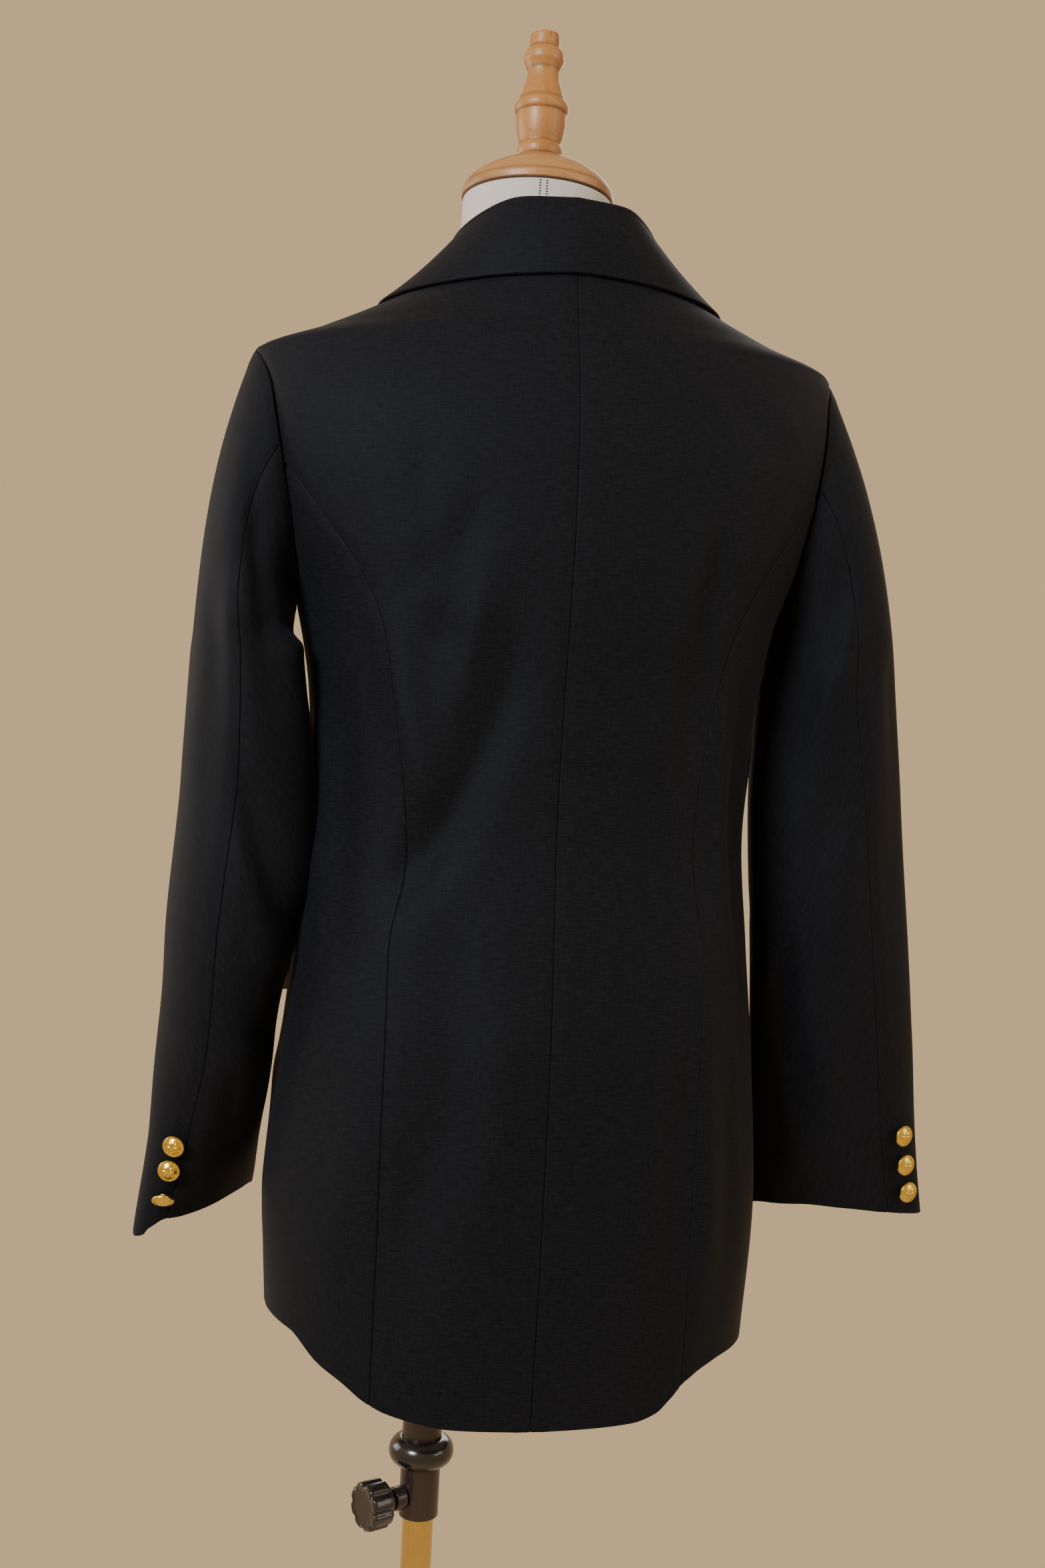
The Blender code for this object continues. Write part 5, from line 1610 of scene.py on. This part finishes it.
# Heights of narrow dark rings on the cap and the finial: painted shade in the grooves.
CAP_SHADE_RINGS = (0.4020, 0.4085)
FINIAL_SHADE_RINGS = (0.4415, 0.4622, 0.4712, 0.4925, 0.5075)
SHADE_RING_HALF = 0.0009
CHIP_TURN = 3.4
CHIP_DEPTH = 0.0022
STUB_R = 0.0102


def mark_ring_shade(piece, rings):
    """Darkens narrow rings in the grooves and round the cap's rim, which is painted shade."""
    heights = np.zeros(len(piece.data.vertices) * 3)
    piece.data.vertices.foreach_get("co", heights)
    heights = heights.reshape(-1, 3)[:, 2] - WAIST
    ring_shade = sum(np.exp(-((heights - ring) / SHADE_RING_HALF) ** 2) for ring in rings)
    mark = piece.data.attributes.new("ring_shade", "FLOAT", "POINT")
    mark.data.foreach_set("value", np.clip(ring_shade, 0, 1).astype(np.float32))


def broken_top(far, high, angle):
    """The rough top of the stub, with a chip out of one side."""
    if high < 0.5150:
        return far, high
    chip = max(0.0, cos(angle - CHIP_TURN)) ** 8
    rough = 0.0005 * sin(3 * angle + far * 900) * sin(5 * angle)
    return far * (1 - 0.12 * chip), high - (CHIP_DEPTH * chip + abs(rough)) * far / STUB_R


neck_foot = Vector((GARMENT_X + NECK_X, NECK_Y, WAIST))
cap = lathe("turned_cap", smooth_profile(CAP_PROFILE, 5), neck_foot, CAP_WOOD, 96, WORN, ["neck_cap"])
mark_ring_shade(cap, CAP_SHADE_RINGS)
finial_shape = smooth_profile(FINIAL_PROFILE, 4) + STUB_TOP
finial = lathe("turned_finial", finial_shape, neck_foot, FINIAL_WOOD, 72, WORN, ["finial"],
               shape=broken_top)
mark_ring_shade(finial, FINIAL_SHADE_RINGS)

# %% [markdown]
# ### The stand
#
# A tube under the form runs into a clamp: a tube with a rubbery ring and a boss, from which a
# fluted knob sticks out. The brass pole stands in the clamp and in a round, slightly domed base.

# %% Turn the stand
POLE_R = 0.0105
POLE_TOP = 0.900
TUBE_R = 0.0135
CLAMP_BORE = 0.0110
CLAMP_LOW = WAIST - 0.499
CLAMP_HIGH = WAIST - 0.446
RING_LOW = WAIST - 0.4635
RING_HIGH = WAIST - 0.4450
RING_R = 0.0222
KNOB_HEIGHT = WAIST - 0.484
KNOB_AXIS = Vector((0.88, 0.47, 0.0)).normalized()
BOSS_LENGTH = 0.009
KNOB_R = 0.0160
KNOB_LENGTH = 0.0215
FLUTES = 8
FLUTE_DEPTH = 0.0019
BASE_R = 0.172
HUB_TOP = 0.040


def tube_profile(low, high, inner, outer, soft):
    """A tube with softly broken outer edges."""
    points = [(low, inner)]
    for end, inwards in ((low, 1), (high, -1)):
        arc = []
        for step in range(6):
            angle = pi / 2 * step / 5
            arc.append((end + inwards * soft * (1 - sin(angle)), outer - soft * (1 - cos(angle))))
        points += arc[::-1] if inwards > 0 else arc
    return points + [(high, inner)]


def ring_profile():
    bore = TUBE_R + SEAM
    middle = (RING_LOW + RING_HIGH) / 2
    half = (RING_HIGH - RING_LOW) / 2
    arc = []
    for step in range(25):
        angle = -pi / 2 + pi * step / 24
        arc.append((middle + half * sin(angle), bore + 0.0008 + (RING_R - bore - 0.0008) * cos(angle)))
    return [(RING_LOW, bore)] + arc + [(RING_HIGH, bore)]


floor_foot = Vector((0.0, 0.0, 0.0))
base_profile = [
    (0.0, 0.0), (0.0, BASE_R - 0.003), (0.0008, BASE_R - 0.0009), (0.003, BASE_R), (0.006, BASE_R),
    (0.0082, BASE_R - 0.0012), (0.009, BASE_R - 0.004), (0.0095, BASE_R - 0.010), (0.0118, 0.115),
    (0.014, 0.060), (0.0155, 0.036), (0.019, 0.0275), (0.026, 0.0235), (0.034, 0.0205),
    (0.0385, 0.0178), (HUB_TOP, 0.0150), (HUB_TOP, 0.0),
]
lathe("brass_base", base_profile, floor_foot, BRASS, 128, "stand", ["base"])
pole_profile = [(HUB_TOP + SEAM, 0.0), (HUB_TOP + SEAM, POLE_R), (POLE_TOP - 0.001, POLE_R),
                (POLE_TOP, POLE_R - 0.001), (POLE_TOP, 0.0)]
lathe("brass_pole", pole_profile, floor_foot, BRASS, 72, "stand", ["pole"])
lathe("dark_clamp_tube", tube_profile(CLAMP_LOW, CLAMP_HIGH, CLAMP_BORE, TUBE_R, 0.0012), floor_foot,
      DARK_METAL, 72, "clamp", ["clamp_tube"])
lathe("clamp_grip_ring", ring_profile(), floor_foot, PLASTIC, 72, "clamp", ["clamp_ring"])
lathe("dark_form_tube", tube_profile(CLAMP_HIGH + SEAM, WAIST + FORM_FLOOR - SEAM, SOCKET_R, TUBE_R, 0.0004),
      floor_foot, DARK_METAL, 72, WORN, ["form_tube"])

# %% [markdown]
# The boss stands out from the clamp's tube, and the knob turns about the boss's own line. The
# finger grooves are cut into the knob's rim.

# %% Turn the knob
knob_foot = Vector((0.0, 0.0, KNOB_HEIGHT))
lathe("dark_clamp_boss", tube_profile(TUBE_R + SEAM, TUBE_R + BOSS_LENGTH, 0.0034, 0.0078, 0.0012), knob_foot,
      DARK_METAL, 48, "clamp", ["clamp_boss"], KNOB_AXIS)


def fluted(far, high, angle):
    """Finger grooves round the knob's rim."""
    if far < KNOB_R * 0.8:
        return far, high
    return far - FLUTE_DEPTH * max(0.0, cos(FLUTES * angle)) ** 1.5, high


knob_start = TUBE_R + BOSS_LENGTH + 0.002
knob_end = knob_start + KNOB_LENGTH
knob_profile = [(TUBE_R + 0.0012, 0.0), (TUBE_R + 0.0012, 0.0030), (knob_start, 0.0030),
                (knob_start, 0.0075), (knob_start + 0.004, 0.0085), (knob_start + 0.0046, 0.0120),
                (knob_start + 0.0055, 0.0150),
                (knob_start + 0.0063, 0.0157), (knob_start + 0.0075, KNOB_R), (knob_end - 0.0030, KNOB_R),
                (knob_end - 0.0014, 0.0157), (knob_end - 0.0004, 0.0149), (knob_end, 0.0138),
                (knob_end - 0.0006, 0.0122), (knob_end - 0.0008, 0.0090), (knob_end - 0.0008, 0.0)]
lathe("fluted_knob", knob_profile, knob_foot, PLASTIC, 128, "knob", ["clamp_knob"],
      KNOB_AXIS, fluted)

# %% [markdown]
# ## Floor
#
# A plain pale round of floor takes the stand's shadow and fades out towards its rim, so no
# horizon shows behind the blazer. It isn't part of the object.

# %% Lay the floor
FLOOR_REACH = 1.4
FLOOR_FADE = (0.45, 1.15)   # from the pole, where the floor starts to fade and where it is gone
floor_paint = Paint("pale floor")
speckle = floor_paint.noise(floor_paint.place(), 3.0, 3.0)
floor_colour = floor_paint.colour(speckle, shade(0.56, 0.48, 0.38), shade(0.60, 0.52, 0.42))
from_pole = floor_paint.node("ShaderNodeVectorMath", {"operation": "LENGTH"}, {0: floor_paint.place()}, out=1)
floor_paint.finish(Base_Color=floor_colour, Roughness=0.75, Alpha=from_pole.ramp(*FLOOR_FADE, 1.0, 0.0))
floor_mesh = bpy.data.meshes.new("floor")
rim = [(FLOOR_REACH * cos(step * pi / 32), FLOOR_REACH * sin(step * pi / 32), 0.0) for step in range(64)]
floor_mesh.from_pydata(rim, [], [tuple(range(64))])
floor_mesh.materials.append(floor_paint.material)
floor = add_object("floor", floor_mesh)
